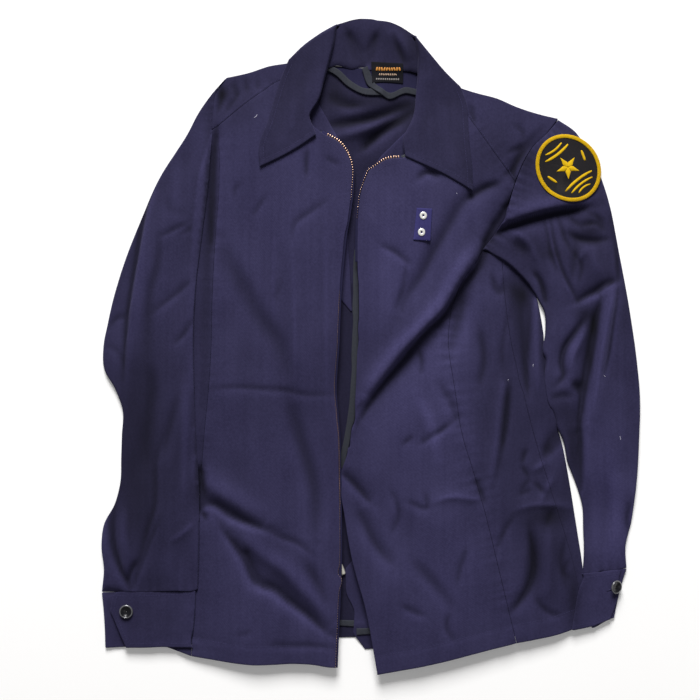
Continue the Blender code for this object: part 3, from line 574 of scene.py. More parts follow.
def twillCloth(name, base, wearAndShade, sheen=0.12, bumpHeight=0.06):
    # polyester and cotton twill: matt, with faint diagonal ribs, cloudy wear and a violet sheen on its folds;
    # its colour is scaled by the painted light and shade held in each point's shade attribute
    material, tree, shader = newMaterial(name, Roughness=0.88, Specular_IOR_Level=0.15,
                                         Sheen_Weight=sheen, Sheen_Roughness=0.45,
                                         Sheen_Tint=toLinear("#a9a4d8"))
    where = addNode(tree, "ShaderNodeTexCoord")
    cloth = addNode(tree, "ShaderNodeUVMap", uv_map="cloth")
    clouds = addNode(tree, "ShaderNodeTexNoise", {"Vector": where.outputs["Object"]}, Scale=16.0, Detail=4.0)
    mottle = addNode(tree, "ShaderNodeTexNoise", {"Vector": where.outputs["Object"]}, Scale=420.0, Detail=3.0)
    # real ribs are 0.5 mm apart; they are drawn 1.5 mm apart so that they show
    ribs = addNode(tree, "ShaderNodeTexWave", {"Vector": cloth.outputs["UV"]}, wave_type="BANDS",
                   bands_direction="DIAGONAL", Scale=210.0, Distortion=1.2, Detail=2.0, Detail_Scale=2.0)
    along = addNode(tree, "ShaderNodeMapping", {"Vector": where.outputs["Object"]})
    along.inputs["Scale"].default_value = (170, 7, 60)
    streaks = addNode(tree, "ShaderNodeTexNoise", {"Vector": along.outputs[0]}, Scale=1.0, Detail=3.0)
    both = addNode(tree, "ShaderNodeMath", {0: streaks.outputs["Fac"], 2: mottle.outputs["Fac"]},
                   operation="MULTIPLY_ADD")
    both.inputs[1].default_value = 0.45
    blend = addNode(tree, "ShaderNodeMath", {0: clouds.outputs["Fac"], 1: both.outputs[0]}, operation="ADD")
    share = addNode(tree, "ShaderNodeMapRange", {"Value": blend.outputs[0]}, From_Min=0.85, From_Max=1.6)
    color = addNode(tree, "ShaderNodeMix", {"Factor": share.outputs["Result"]}, data_type="RGBA")
    color.inputs["A"].default_value = toLinear(base)
    color.inputs["B"].default_value = toLinear(wearAndShade)
    shade = addNode(tree, "ShaderNodeAttribute", attribute_name="shade")
    shaded = addNode(tree, "ShaderNodeVectorMath",
                     {0: color.outputs["Result"], "Scale": shade.outputs["Fac"]}, operation="SCALE")
    tree.links.new(shaded.outputs[0], shader.inputs["Base Color"])
    mixed = addNode(tree, "ShaderNodeMath", {0: ribs.outputs["Fac"], 1: mottle.outputs["Fac"]},
                    operation="MULTIPLY_ADD")
    mixed.inputs[2].default_value = 0.0
    bump = addNode(tree, "ShaderNodeBump", {"Height": mixed.outputs[0]}, Strength=1.0,
                   Distance=bumpHeight * mm)
    tree.links.new(bump.outputs["Normal"], shader.inputs["Normal"])
    return material


navyTwill = twillCloth("navy_twill", "#272440", "#343150")
insideTwill = twillCloth("navy_twill_inside", "#1b1934", "#22203c", sheen=0.1)
greyBinding = twillCloth("grey_binding", "#2b2d34", "#35373e", sheen=0.15)
outlines = {node: wallLoops(node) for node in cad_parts}


def sidesOf(piece, node, wall=0):
    # four sides of one of a node's walls, from the piece's own corners and bends
    return sideLines(outlines[node][wall], piece["corners"], piece.get("bends", ()))


def wallsOf(nodes, number=0):
    # outlines of the lowest wall of each node, or of the highest for -1
    return [outlines[node][number] for node in nodes]


def riseFrom(edges, loft, reach):
    # height over folded edges: edge + loft * (1 - exp(-d / reach))
    far = farFrom(*[edge[::2] for edge in edges])
    return jacket["foldEdge"] + loft * (1 - np.exp(-far / reach))


# collar, under the back neck
collarUnder = {
    "low": ((-94.5, 331), (-69, 329.5), (-18, 326), (33, 325.5), (57, 322), (81, 312), (103, 300)),
    "left": ((103, 300), (84.5, 318), (67, 338), (50.5, 358)),
    "high": ((50.5, 358), (30, 370.2), (7, 375), (-16.5, 376.8), (-39, 371)),
    "right": ((-39, 371), (-59, 360), (-78, 346.8), (-94.5, 331)),
    "step": 4.0,
}
underSides = [smoothLine(collarUnder[name]) for name in ("low", "left", "high", "right")]
layGroup("fallUnder", wallsOf(["collar_fall"]), wall=collarThick)

# back: plain, lying on the surface, its left edge folded over to the front
back = {"corners": ((-180, -343), (256, -319), (217, 263), (-166, 310)), "bends": ((183, 92),),
        "split": (60, 92),                            # heights of its cross line, right side and left
        "width": 370.0, "upperLength": 220.0, "lowerStep": 5.0, "foldStep": 4.0, "upperStep": 3.0,
        "foldHeight": 3.4,
        "neck": (4, 256), "neckReach": (52, 44), "neckRise": 8.0}
backReturn = {"corners": ((248, -322), (256, -319), (183, 92), (152, 103))}
sideRightUnder = {"corners": ((-237, -346), (-180, -343), (-182, 250), (-182, 250)), "step": 5.0}
sideRightTop = {"corners": ((-237, -346), (-206, -357), (-175, 254), (-182, 250)), "step": 3.0}
# folds: height (below 0 a trough), run to the left and to the right of the line, crispness, and its course
backCreases = (
    (-2.8, 5, 5, 1.2, (-48, 256), (-27, 258), (-4, 262), (19, 269), (42, 279)),
    (-3.2, 4, 7, 1.2, (47, 270), (26, 256), (5, 241), (-11, 226)),
    (1.5, 5, 5, 1.6, (-41, 242), (-18, 246), (8, 255), (35, 269)),
    (-1.6, 6, 4, 1.3, (-48, 288), (-30, 279), (-11, 277)),
)
# the back rises inside the neck: h * exp(-(x^2 + y^2)^1.5)
neckX, neckY = ((grid - at) / reach for grid, at, reach in
                zip((gridX, gridY), back["neck"], back["neckReach"]))
neckRise = back["neckRise"] * np.exp(-(neckX ** 2 + neckY ** 2) ** 1.5)
layGroup("backLow", wallsOf(["back", "side_panel_right"]), neckRise,
         foldField(backCreases, back["foldHeight"]))

# facings and bindings inside the opening
facingRight = {"corners": ((-21, 39), (-21, 39), (-70, 300), (-70, 300))}
facingLeft = {"corners": ((-9, 136), (20, 128), (60, 272), (60, 272))}
neckFacingRight = {"corners": ((-60, 324), (14, 289), (14, 319), (-60, 324))}
neckFacingLeft = {"corners": ((-10, 320), (66, 287), (66, 313), (-10, 320))}
hemBinding = {"corners": ((-64, -321), (24, -325), (24, -318), (-64, -314))}
layGroup("facings", wallsOf(["facing_right", "facing_left", "neck_facing_right", "hem_binding"]), drape=4.0)
neckBindingRight = {"corners": ((-60, 324), (14, 289), (14, 296), (-56, 330))}
frontBindingLeft = {"corners": ((-38, -140), (-30, -140), (-16, 112), (-24, 112)), "top": 112,
                    "narrow": 5.5, "reach": 30}
facingLower = {"corners": ((-6, -350), (26, -346), (2, -236), (-16, -240))}
layGroup("innerTrim", wallsOf(["neck_binding_right", "front_binding_left", "facing_left_lower"]), drape=3.0)
zipTapeRight = {"corners": ((-48, -369), (-37, -369), (-54, 248), (-61, 240)), "raw": (1, 237.5, 1.6)}
zipTapeLeft = {"corners": ((-18, 97), (-7.6, 97), (40.2, 209.2), (38.9, 219.5)), "raw": (0, 30, 1.6)}
lowerBinding = {"corners": ((-16, -333), (10, -331), (8, -323), (-16, -325))}
layGroup("tapes", wallsOf(["zip_tape_right", "zip_tape_left", "lower_binding", "neck_facing_left"]),
         wall=trimThick, drape=3.0)
neckBindingLeft = {"corners": ((-10, 320), (66, 287), (67, 294), (-3, 322))}
layGroup("box", wallsOf(["neck_binding_left", "zip_box"]), wall=trimThick, drape=3.0)
print("inside laid")

# fronts, side panels and yokes
frontRight = {"corners": ((-206, -357), (-40, -369), (-86, 318), (-175, 254)), "bends": ((-56, 246),)}
frontLeft = {"corners": ((8, -377), (168, -341), (167, 190), (80, 312)),
             "bends": ((40, 217), (-2, 202), (130, 111))}
sideLeft = {"corners": ((168, -341), (248, -322), (152, 103), (130, 111))}
yokeRight = {"corners": ((-182, 250), (-86, 318), (-90, 328), (-166, 310)), "bends": ((-175, 254),)}
yokeLeft = {"corners": ((80, 312), (167, 190), (217, 263), (99, 300))}
body = {"loft": 10.5, "reach": 45.0, "openDrop": 3.0, "openReach": 18.0}      # how full it lies
bodyFolds = (
    # from the left armpit down across the left front
    (5.2, 8, 15, 2, (134, 122), (113, 99), (98, 76), (85, 51), (70, 30), (52, 11), (35, -4), (12, -33),
     (-7, -58)),
    (-5, 17, 4, 1.1, (143, 140), (133, 118), (123, 91), (108, 72), (96, 53), (85, 36), (69, 22), (50, 1),
     (38, -16), (18, -39), (1, -62), (-16, -90)),
    (-3, 9, 10, 1.5, (123, 186), (103, 162), (85, 131), (72, 109), (58, 82), (41, 56), (31, 33)),
    (-4, 4, 6, 1.2, (163, 173), (148, 143), (133, 119), (127, 99)),
    # beside the opening
    (-1.3, 5, 2.5, 1.1, (10, 116), (27, 108), (46, 93)),
    (-1, 5, 3, 1.1, (41, 95), (36, 64), (27, 40)),
    (-1.2, 3, 4, 1.1, (56, -4), (59, -21), (57, -33)),
    # round the left armhole
    (-2.4, 4, 7, 1.4, (109, 168), (130, 182), (149, 189)),
    (-3, 4, 6, 1.3, (195, 246), (174, 221), (165, 201), (170, 180)),
    (-1.3, 2, 3, 1.1, (157, 224), (169, 228), (179, 233)),
    (-1.3, 2, 3, 1.1, (151, 196), (159, 201), (167, 208)),
    (-1.1, 2, 3, 1.1, (167, 256), (176, 247), (176, 236)),
    (-2.2, 3, 5, 1.2, (209, 252), (195, 236), (185, 217)),
    (-1.6, 4, 4, 1.4, (115, 279), (119, 256)),
    # left side panel, from the armpit to the waist
    (-2.8, 3, 4, 1.1, (140, 80), (148, 64), (162, 76), (170, 64), (188, 57)),
    (-4.2, 2.5, 8, 1.2, (181, 70), (181, 42), (180, 7), (179, -21), (181, -55)),
    (-0.8, 5, 4, 1.3, (161, 44), (151, 2), (154, -47)),
    (2, 3, 3, 1.4, (190, 58), (190, 7), (192, -50)),
    (-1.6, 4, 4, 1.2, (201, 7), (200, -18), (208, -52)),
    (-2.4, 8, 9, 1.8, (111, 64), (98, 20), (89, -10)),
    (-2, 6, 6, 1.5, (125, 19), (130, -16), (123, -48)),
    # crumpled left waist
    (3, 3, 10, 1.3, (154, -35), (149, -73), (146, -104), (138, -154)),
    (-2, 3, 6, 1.2, (159, -44), (156, -85), (151, -119)),
    (-5, 4, 5, 1.2, (225, -95), (213, -108), (200, -126)),
    (-1.5, 2, 4, 1.05, (179, -118), (174, -136)),
    (-1.4, 2, 3.5, 1.05, (174, -136), (182, -152)),
    (-1.1, 3, 2.5, 1.05, (182, -152), (173, -166)),
    (1.3, 3, 3, 1.1, (186, -143), (201, -133)),
    (-1.3, 2, 3, 1.05, (188, -156), (203, -171)),
    (-1.1, 3, 2.5, 1.05, (169, -171), (185, -165)),
    (1.2, 3, 3, 1.1, (195, -178), (210, -149)),
    (1.5, 5, 3, 1.1, (165, -188), (182, -183), (205, -182), (233, -185)),
    # left front and side below the waist
    (1.2, 6, 3, 1.1, (70, -179), (88, -173), (111, -174), (127, -177)),
    (-3.8, 6, 6, 1.3, (182, -209), (186, -232), (187, -257), (180, -280), (161, -305)),
    (-1.5, 5, 5, 1.5, (223, -223), (219, -251), (226, -280)),
    (-1, 3, 3, 1.1, (228, -246), (223, -259), (231, -271)),
    (1.6, 6, 7, 1.8, (204, -211), (202, -246), (200, -292)),
    (-1.2, 6, 6, 1.4, (209, -188), (205, -198), (201, -210)),
    (-1.1, 4, 3, 1.2, (163, -196), (154, -211), (144, -234)),
    (-1.5, 4, 4, 1.2, (120, -151), (126, -167), (131, -182)),
    (-2.6, 9, 4, 1.2, (-34, -144), (-16, -162), (1, -181)),
    (-2.6, 10, 7, 1.5, (-15, -186), (-6, -205), (6, -228), (27, -252)),
    (-1.1, 4, 3, 1.1, (23, -164), (32, -190), (23, -217)),
    (-1.1, 3, 3, 1.1, (42, -178), (64, -185), (62, -167)),
    (-1.5, 4, 2, 1.1, (56, -112), (79, -98), (96, -85)),
    (-1, 3, 3, 1.1, (49, -103), (35, -114)),
    (-1.1, 4, 2.5, 1.1, (89, -305), (87, -324), (97, -340)),
    (-1.1, 4, 4, 1.2, (110, -231), (104, -248), (98, -274)),
    (-1.1, 4, 3, 1.1, (35, -298), (48, -304), (62, -309)),
    (-1.2, 3, 3, 1.2, (189, -289), (203, -305), (219, -310)),
    (-1.8, 5, 4, 1.3, (52, 190), (64, 200), (80, 194)),
    (-1.4, 6, 6, 1.8, (79, -44), (93, -67), (102, -96)),
    (1.2, 8, 8, 2, (54, -56), (70, -96), (79, -142)),
    (-1.3, 7, 7, 2, (47, -246), (79, -280), (96, -303)),
    # right front, down to the waist
    (-0.7, 3, 2, 1.2, (-151, 188), (-157, 178), (-156, 171)),
    (-0.8, 3, 3, 1.2, (-121, 173), (-130, 159), (-136, 149)),
    (-0.9, 3, 5, 1.2, (-51, 167), (-73, 152), (-87, 141), (-91, 122)),
    (-2.2, 11, 13, 2, (-172, 122), (-163, 97), (-145, 65), (-126, 30), (-107, 4), (-99, -21), (-96, -44)),
    (0.5, 2, 2, 1.2, (-111, 122), (-112, 71), (-111, 19)),
    (0.5, 2, 2, 1.2, (-90, 122), (-88, 53), (-87, -27)),
    (0.45, 2, 2, 1.2, (-52, 163), (-51, 53), (-51, -85)),
    (-1, 2.5, 2, 1, (-186, -49), (-151, -47), (-122, -49), (-91, -52), (-80, -55), (-43, -55)),
    (-0.6, 5, 6, 1.5, (-102, 79), (-106, 65), (-111, 49)),
    (-2.4, 9, 9, 2, (-94, -62), (-80, -111), (-65, -168), (-64, -223)),
    # long folds across the lower right front
    (2.4, 16, 10, 2, (-202, -147), (-178, -165), (-151, -182), (-120, -200)),
    (-4.2, 15, 3, 1.1, (-200, -182), (-190, -181), (-180, -183), (-163, -194), (-140, -204), (-121, -210)),
    (-1.3, 3.5, 2.5, 1.1, (-126, -208), (-103, -219), (-86, -225), (-65, -240)),
    (2.4, 14, 9, 2, (-151, -217), (-122, -240), (-99, -255), (-82, -274), (-61, -297), (-44, -320)),
    (-4.6, 15, 3.5, 1.1, (-172, -209), (-158, -228), (-145, -246), (-126, -275), (-112, -280), (-94, -294),
     (-71, -311), (-48, -331)),
    (-2, 4, 5, 1.2, (-143, -232), (-141, -251), (-133, -278)),
    (-1.6, 7, 7, 1.8, (-75, -248), (-61, -274), (-50, -298)),
    (-0.9, 3, 3, 1.1, (-117, -343), (-94, -344), (-71, -344), (-45, -346)),
    (-0.5, 4, 3, 1.2, (-156, -331), (-144, -331), (-137, -326)),
    # below the right collar point
    (-1.5, 2.5, 3, 1.2, (-73, 226), (-74, 211), (-74, 194)),
    (-0.8, 3, 2, 1.2, (-52, 217), (-43, 212), (-35, 209)),
    # along the right side seam
    (-3.2, 4, 5, 1.3, (-178, 251), (-181, 214), (-182, 168), (-184, 111)),
    (-7, 5, 4, 1.2, (-197, -140), (-197, -159), (-198, -190)),
    (-1.6, 3, 3, 1.4, (-194, -190), (-189, -201)),
    # gathers of the right yoke
    (-1.5, 2.5, 3.5, 1.2, (-173, 300), (-172, 288), (-176, 270)),
    (-0.9, 2, 2, 1.2, (-167, 270), (-156, 286), (-151, 295)),
    (-1, 2.5, 3, 1.2, (-159, 304), (-154, 288)),
    (-0.9, 2.5, 3, 1.2, (-144, 309), (-142, 292)),
    (-0.8, 2.5, 3, 1.2, (-130, 312), (-130, 295)),
    (-0.7, 2.5, 3, 1.2, (-115, 318), (-115, 302)),
)
sides = {name: sidesOf(piece, node, -1) for name, piece, node in (
    ("backReturn", backReturn, "back"), ("sideRightTop", sideRightTop, "side_panel_right"),
    ("sideLeft", sideLeft, "side_panel_left"), ("frontRight", frontRight, "front_right"),
    ("frontLeft", frontLeft, "front_left"), ("yokeRight", yokeRight, "yoke_right"),
    ("yokeLeft", yokeLeft, "yoke_left"))}
hems = [sides[name][0] for name in ("frontRight", "frontLeft", "sideLeft", "sideRightTop")]
edgeRight, edgeLeft = sides["frontRight"][1], sides["frontLeft"][3]
foldEdges = [sides[name][k] for name, k in (("sideRightTop", 3), ("backReturn", 1), ("yokeRight", 2),
                                            ("yokeLeft", 2))]
openFar = farFrom(*[edge[::2] for edge in hems + [edgeRight, edgeLeft]])
bodyWanted = riseFrom(foldEdges, body["loft"], body["reach"])
bodyWanted -= body["openDrop"] * np.exp(-openFar / body["openReach"])
# folds, then creases and swells by chance: amount in millimetres, seed and size
bodyRelief = (foldField(bodyFolds) + 0.9 * crumpled * pinched(16, 17) + 1.2 * unevenness(11, 24, 1.8)
              + 0.3 * unevenness(12, 9, 1.8))
bodyRelief += sum(bandField(hem, jacket["hem"], 0.45, 0.3) for hem in hems)
# seams that pucker: side, height, pitch, reach and seed
for line, *ripple in ((sides["yokeRight"][0], 0.35, 11, 9, 21), (sides["yokeLeft"][0], 0.45, 10, 10, 23),
                      (sides["frontLeft"][1], 0.5, 13, 12, 25), (sides["frontRight"][3], 0.3, 14, 10, 27)):
    bodyRelief += puckerField(line, *ripple)
layGroup("body", wallsOf(["back", "side_panel_right", "side_panel_left", "front_right", "front_left",
                          "yoke_right", "yoke_left"], -1), bodyWanted, bodyRelief, drape=6.0)

# sleeves, each a flattened tube
sleeveRight = {"corners": ((-311, -284), (-200, -280), (-182, 250), (-166, 310)),
               "over": 2.5, "bulge": (3.5, 245, 13), "topIn": 5, "topReach": 2}
sleeveLeft = {"corners": ((244, -262), (297, -256), (217, 263), (130, 111)),
              "bulges": ((5, 5, 38), (3.4, -90, 50))}
sleeve = {"loft": 12.5, "reach": 28.0, "cuffEnd": 1.2}
sleeveFoldsRight = (
    # pressed crease down the outer side
    (2.6, 14, 1.8, 1.1, (-246, 191), (-256, 160), (-261, 132), (-267, 99), (-272, 68), (-276, 36), (-279, 7),
     (-282, -36)),
    (-2.6, 1.8, 5, 1.1, (-249, 191), (-258, 160), (-264, 132), (-269, 99), (-274, 68), (-279, 36), (-281, 7),
     (-284, -36)),
    # upper arm and elbow
    (-1, 2.5, 1.5, 1.1, (-243, 125), (-227, 134), (-211, 142)),
    (-1.6, 6, 6, 1.8, (-243, 127), (-245, 97), (-253, 65), (-259, 19)),
    (-0.8, 2.5, 1.5, 1.1, (-218, 129), (-205, 136), (-192, 141)),
    (-1.1, 5, 2, 1.1, (-253, 37), (-235, 51), (-218, 65), (-202, 80)),
    (-1.1, 3, 2, 1.1, (-227, 2), (-215, 14), (-205, 30)),
    (-1, 7, 7, 2, (-249, 53), (-255, 19), (-257, -16)),
    # forearm
    (-1.5, 8, 8, 2, (-255, -16), (-251, -47), (-255, -76), (-259, -116), (-255, -142)),
    (-1.1, 5, 5, 1.8, (-222, -56), (-232, -96), (-238, -125)),
    (1.4, 6, 6, 2, (-213, -39), (-213, -108), (-215, -177)),
    (-1.4, 2, 5, 1.2, (-240, -104), (-246, -131), (-248, -185), (-258, -217), (-266, -246), (-273, -277)),
    (-1.2, 2, 4, 1.1, (-243, -200), (-255, -228), (-268, -263), (-276, -280)),
    # above the cuff
    (-4.4, 2.5, 3.5, 1.1, (-296, -180), (-298, -208), (-296, -231), (-289, -254), (-278, -277)),
    (1.2, 4, 4, 1.8, (-284, -188), (-284, -223), (-279, -246)),
    (-2, 3, 3, 1.3, (-269, -246), (-276, -259), (-281, -275)),
    (1, 2, 3, 1.2, (-229, -223), (-215, -213), (-205, -203)),
    (-1.8, 3, 3, 1.1, (-311, -282), (-297, -283), (-286, -285)),
    # nicks in the outer side, and the soft upper arm
    (-0.8, 4, 4, 1.4, (-303, 19), (-292, 33), (-280, 35)),
    (-0.6, 4, 4, 1.5, (-305, 2), (-291, -6), (-284, -22)),
    (-0.8, 8, 8, 1.8, (-212, 226), (-215, 180), (-213, 151)),
    (-0.5, 6, 6, 1.8, (-237, 174), (-229, 157), (-209, 152)),
)
sleeveFoldsLeft = (
    # from the armpit, under the patch
    (3.2, 17, 6, 2, (144, 136), (159, 145), (182, 152), (205, 158), (228, 164), (249, 168)),
    (-5, 2.5, 9, 1.1, (135, 122), (148, 133), (172, 143), (211, 154), (240, 158), (254, 162)),
    (-1.3, 10, 9, 1.8, (162, 120), (173, 114), (187, 109)),
    (1.8, 5, 5, 1.6, (158, 132), (171, 127), (182, 116), (192, 97)),
    # creases fanning down to the elbow
    (-1.8, 2, 3, 1.1, (200, 147), (204, 128), (208, 104), (215, 88), (224, 70)),
    (-2.4, 2, 4, 1.1, (207, 147), (210, 122), (219, 90), (230, 67), (239, 51)),
    (-1.4, 2, 3, 1.1, (216, 148), (223, 125), (231, 108)),
    (-1.2, 2, 3, 1.1, (233, 109), (242, 94), (240, 73)),
    (1, 3, 3, 1.2, (249, 116), (242, 104), (236, 97)),
    (1.6, 3, 2.5, 1.3, (203, 143), (208, 117), (217, 86), (231, 58)),
    (-2.6, 3, 3, 1.1, (187, 86), (195, 75), (199, 63), (202, 48)),
    # across the elbow, and above it
    (-3.8, 2.5, 8, 1.1, (285, 76), (271, 71), (261, 64), (247, 57), (235, 50)),
    (-1, 8, 8, 1.8, (224, 125), (246, 122), (268, 122)),
    (-2, 2, 3, 1.1, (228, 148), (243, 140), (261, 142), (271, 134)),
    (-1.9, 2, 4, 1.1, (226, 131), (241, 124), (258, 122), (276, 125)),
    (1, 3, 3, 1.2, (238, 143), (249, 137), (263, 140)),
    (-1.4, 2, 2.5, 1.1, (249, 155), (262, 149), (270, 141)),
    # along the forearm
    (3.8, 10, 4, 1.6, (278, 67), (270, 25), (264, -3), (260, -34), (251, -90)),
    (-5.6, 3.5, 10, 1.2, (265, 56), (258, 24), (254, -3), (249, -29), (245, -52), (239, -98)),
    (-3.2, 4, 5, 1.2, (246, 32), (233, 13), (223, -3), (220, -21), (222, -34), (213, -45)),
    (2.2, 5, 5, 1.6, (250, 25), (241, 7), (232, -12), (230, -32)),
    (-2.2, 6, 6, 1.6, (231, -42), (239, -48), (247, -52)),
    (-1.2, 5, 5, 1.4, (207, -60), (219, -57), (235, -57)),
    (-1.8, 2, 1.8, 1.1, (285, 67), (279, 30), (271, -19), (265, -39)),
    (-2.2, 1.5, 4, 1.1, (278, 154), (282, 128), (285, 102), (286, 76)),
    (-1.3, 5, 5, 1.5, (236, 122), (234, 97), (230, 74)),
    (1.3, 7, 7, 1.8, (251, 116), (256, 97), (261, 81)),
    (-1.6, 5, 5, 1.5, (300, -177), (296, -200), (302, -228)),
    (-1, 8, 8, 2, (268, -142), (270, -188), (268, -240)),
    (-1.2, 5, 5, 1.5, (218, 214), (208, 191), (200, 168)),
    (-4, 1.8, 7, 1.1, (241, -89), (242, -114), (242, -142), (242, -167)),
)


def bulgeAt(y, amount, centre, reach):
    # amount * exp(-((y - centre) / reach)^2)
    return amount * np.exp(-((y - centre) / reach) ** 2)


for side, piece in (("Right", sleeveRight), ("Left", sleeveLeft)):
    sides["sleeve" + side] = sidesOf(piece, "sleeve_" + side.lower())
# the right one's inner edge lies a little over the armhole, save at its top
inner = sides["sleeveRight"][1] = upwardOnly(sides["sleeveRight"][1])
inner[:, 0] += sleeveRight["over"] + bulgeAt(inner[:, 1], *sleeveRight["bulge"])
inner[:, 0] -= sleeveRight["topIn"] * np.exp((inner[:, 1] - inner[-1, 1]) / sleeveRight["topReach"])
# the left one lies closer to the body than its solid, almost touching
inner = sides["sleeveLeft"][3]
inner[:, 0] -= sum(bulgeAt(inner[:, 1], *bulge) for bulge in sleeveLeft["bulges"])
# each cuff is one wall below, and a lap and a tab above
cuff = {"loft": 5.0, "reach": 14.0, "length": 64.0, "step": 1.6}
cuffs = {
    "right": {"low": ((-307, -348), (-204, -346), (-200, -280), (-311, -284)),
              "lap": ((-307, -348), (-281, -347), (-276, -283), (-311, -284)),
              "tab": ((-281, -347), (-204, -346), (-200, -280), (-276, -283)), "tip": (-300, -304)},
    "left": {"low": ((231, -327), (283, -313), (297, -256), (244, -262)),
             "lap": ((277, -314.5), (283, -313), (297, -256), (289, -257)),
             "tab": ((231, -327), (277, -314.5), (289, -257), (244, -262)), "tip": (287, -279)},
}
cuffLoops, cuffSides = {}, {}
for side, piece in cuffs.items():
    for part, loop in zip(("lap", "tab", "low"), sorted(outlines["cuff_" + side], key=areaOf)):
        cuffLoops[side, part] = loop
        cuffSides[side, part] = sideLines(loop, piece[part], (piece["tip"],) if part == "tab" else ())
sleeveNodes = ["sleeve_right", "sleeve_left"]
layGroup("sleeveLow", wallsOf(sleeveNodes) + [cuffLoops[side, "low"] for side in cuffs])
sleeveWanted = np.zeros(gridX.shape)
for side in ("Right", "Left"):
    lines = sides["sleeve" + side]
    rise, riseEnd = (riseFrom(edges, sleeve["loft"], sleeve["reach"]) for edges in (lines[1::2], lines[:1]))
    rise = np.minimum(rise, sleeve["cuffEnd"] + riseEnd)
    sleeveWanted = np.where(covered(outlines["sleeve_" + side.lower()][-1]), rise, sleeveWanted)
sleeveRelief = foldField(sleeveFoldsRight + sleeveFoldsLeft)
sleeveRelief += (0.9 * crumpled * pinched(36, 15) + 1.1 * unevenness(31, 20, 2.2)
                 + 0.3 * unevenness(32, 8, 1.8))
for line, *ripple in ((sides["sleeveLeft"][2], 1.1, 9, 11, 33), (sides["sleeveRight"][2], 0.4, 10, 9, 35),
                      (sides["sleeveRight"][0], 0.5, 12, 12, 37), (sides["sleeveLeft"][0], 0.5, 11, 12, 39)):
    sleeveRelief += puckerField(line, *ripple)
layGroup("sleeveHigh", wallsOf(sleeveNodes, -1) + [cuffLoops[side, "lap"] for side in cuffs], sleeveWanted,
         sleeveRelief, drape=4.5)
cuffFolds = [cuffSides[side, "low"][k] for side in cuffs for k in (1, 3)]
cuffWanted = riseFrom(cuffFolds, cuff["loft"], cuff["reach"])
cuffRelief = 0.35 * unevenness(41, 16) + 0.12 * unevenness(42, 5)
layGroup("cuffTop", [cuffLoops[side, "tab"] for side in cuffs], cuffWanted, cuffRelief, drape=4.0)

# collar: stand inside the neck, leaves over the fronts
stand = {"corners": ((-66, 322), (68, 314), (45, 358), (-33, 370)), "drop": 3.5, "foldHeight": 1.7,
         "loft": 7.0, "reach": 30.0, "step": 2.2, "edgeDown": 1.1, "edgeReach": 3.0}
leafRight = {"corners": ((-127, 206), (-62, 243), (-38, 371), (-94, 331))}
leafLeft = {"corners": ((40, 218), (118, 178), (104, 300), (51, 358))}
leaf = {"loft": 13.0, "reach": 26.0, "edge": 6.0, "foldHeight": 1.0, "step": 2.2, "overFront": 1.2}
standSides = sidesOf(stand, "collar_stand")
standSides[0][:, 1] -= stand["drop"]              # down over the neck facings
standSides[3][-1], standSides[1][0] = standSides[0][0], standSides[0][-1]
standSides = joinSides(standSides, 2, np.vstack([(54.5, 353), underSides[2] - (0, 0.6), (-43.5, 367.6)]))
leaves = sorted(outlines["collar_fall"][1:], key=lambda loop: loop[:, 0].mean())
leafSides = {"right": joinSides(sideLines(leaves[0], leafRight["corners"]), 2, underSides[3]),
             "left": joinSides(sideLines(leaves[1], leafLeft["corners"]), 2, underSides[1])}
standFolds = (
    (-2.6, 4, 6, 1.2, (-27, 364), (-18, 346), (-8, 328)),
    (-2.4, 6, 4, 1.2, (8, 362), (0, 343), (-6, 328)),
    (1.8, 8, 6, 1.8, (19, 364), (35, 348), (46, 329)),
    (-1.8, 4, 4, 1.2, (24, 362), (33, 341), (40, 323)),
)
standWanted = jacket["foldEdge"] + stand["loft"] * np.exp(-farFrom(standSides[2]) / stand["reach"])
standRelief = foldField(standFolds, stand["foldHeight"]) + 0.3 * unevenness(51, 14)
layGroup("stand", [np.vstack(standSides)], standWanted, standRelief, collarThick, 4.0)
leafFolds = (
    (1, 9, 6, 2, (-108, 226), (-92, 256), (-84, 293)),
    (-1, 8, 8, 2, (-76, 247), (-82, 288), (-71, 327)),
    (1, 8, 8, 2, (95, 203), (84, 249), (86, 288)),
    (-1, 8, 8, 2, (62, 224), (65, 260), (64, 309)),
    (-0.9, 7, 7, 1.6, (79, 283), (97, 270), (109, 249)),
)
rollFar = farFrom(leafSides["right"][1], leafSides["left"][3])
leafWanted = jacket["foldEdge"] + leaf["loft"] * np.exp(-rollFar / leaf["reach"])
leafRelief = foldField(leafFolds, leaf["foldHeight"]) + 0.5 * unevenness(52, 22) + 0.14 * unevenness(53, 6)
leafEdges = [leafSides["right"][0], leafSides["right"][3], leafSides["left"][0], leafSides["left"][1]]
leafRelief += sum(bandField(edge, leaf["edge"], 0.25, 0.3) for edge in leafEdges)
layGroup("leaves", [np.vstack(lines) for lines in leafSides.values()], leafWanted, leafRelief, collarThick)
layGroup("trim", wallsOf(["badge_tab", "shoulder_patch"]), wall=jacket["badge"], drape=3.0)
layGroup("label", wallsOf(["label"]), wall=jacket["ribbon"], drape=3.0)
print("all layers laid")

# cloth pieces
tops["underLeaves"], paintedCreaseShade["underLeaves"] = tops["body"] + leaf["overFront"], paintedCreaseShade["leaves"]
underLengths = [lengthAlong(line)[-1] for line in underSides]
rollRows = fractions((underLengths[3] + underLengths[1]) / 2, collarUnder["step"])
underPlan = coons(underSides, fractions(underLengths[0], collarUnder["step"]), rollRows)
collarWalls = [makeWall(underPlan, "fallUnder", collarThick, "", dict.fromkeys("lr", "leaves"), down=True)]
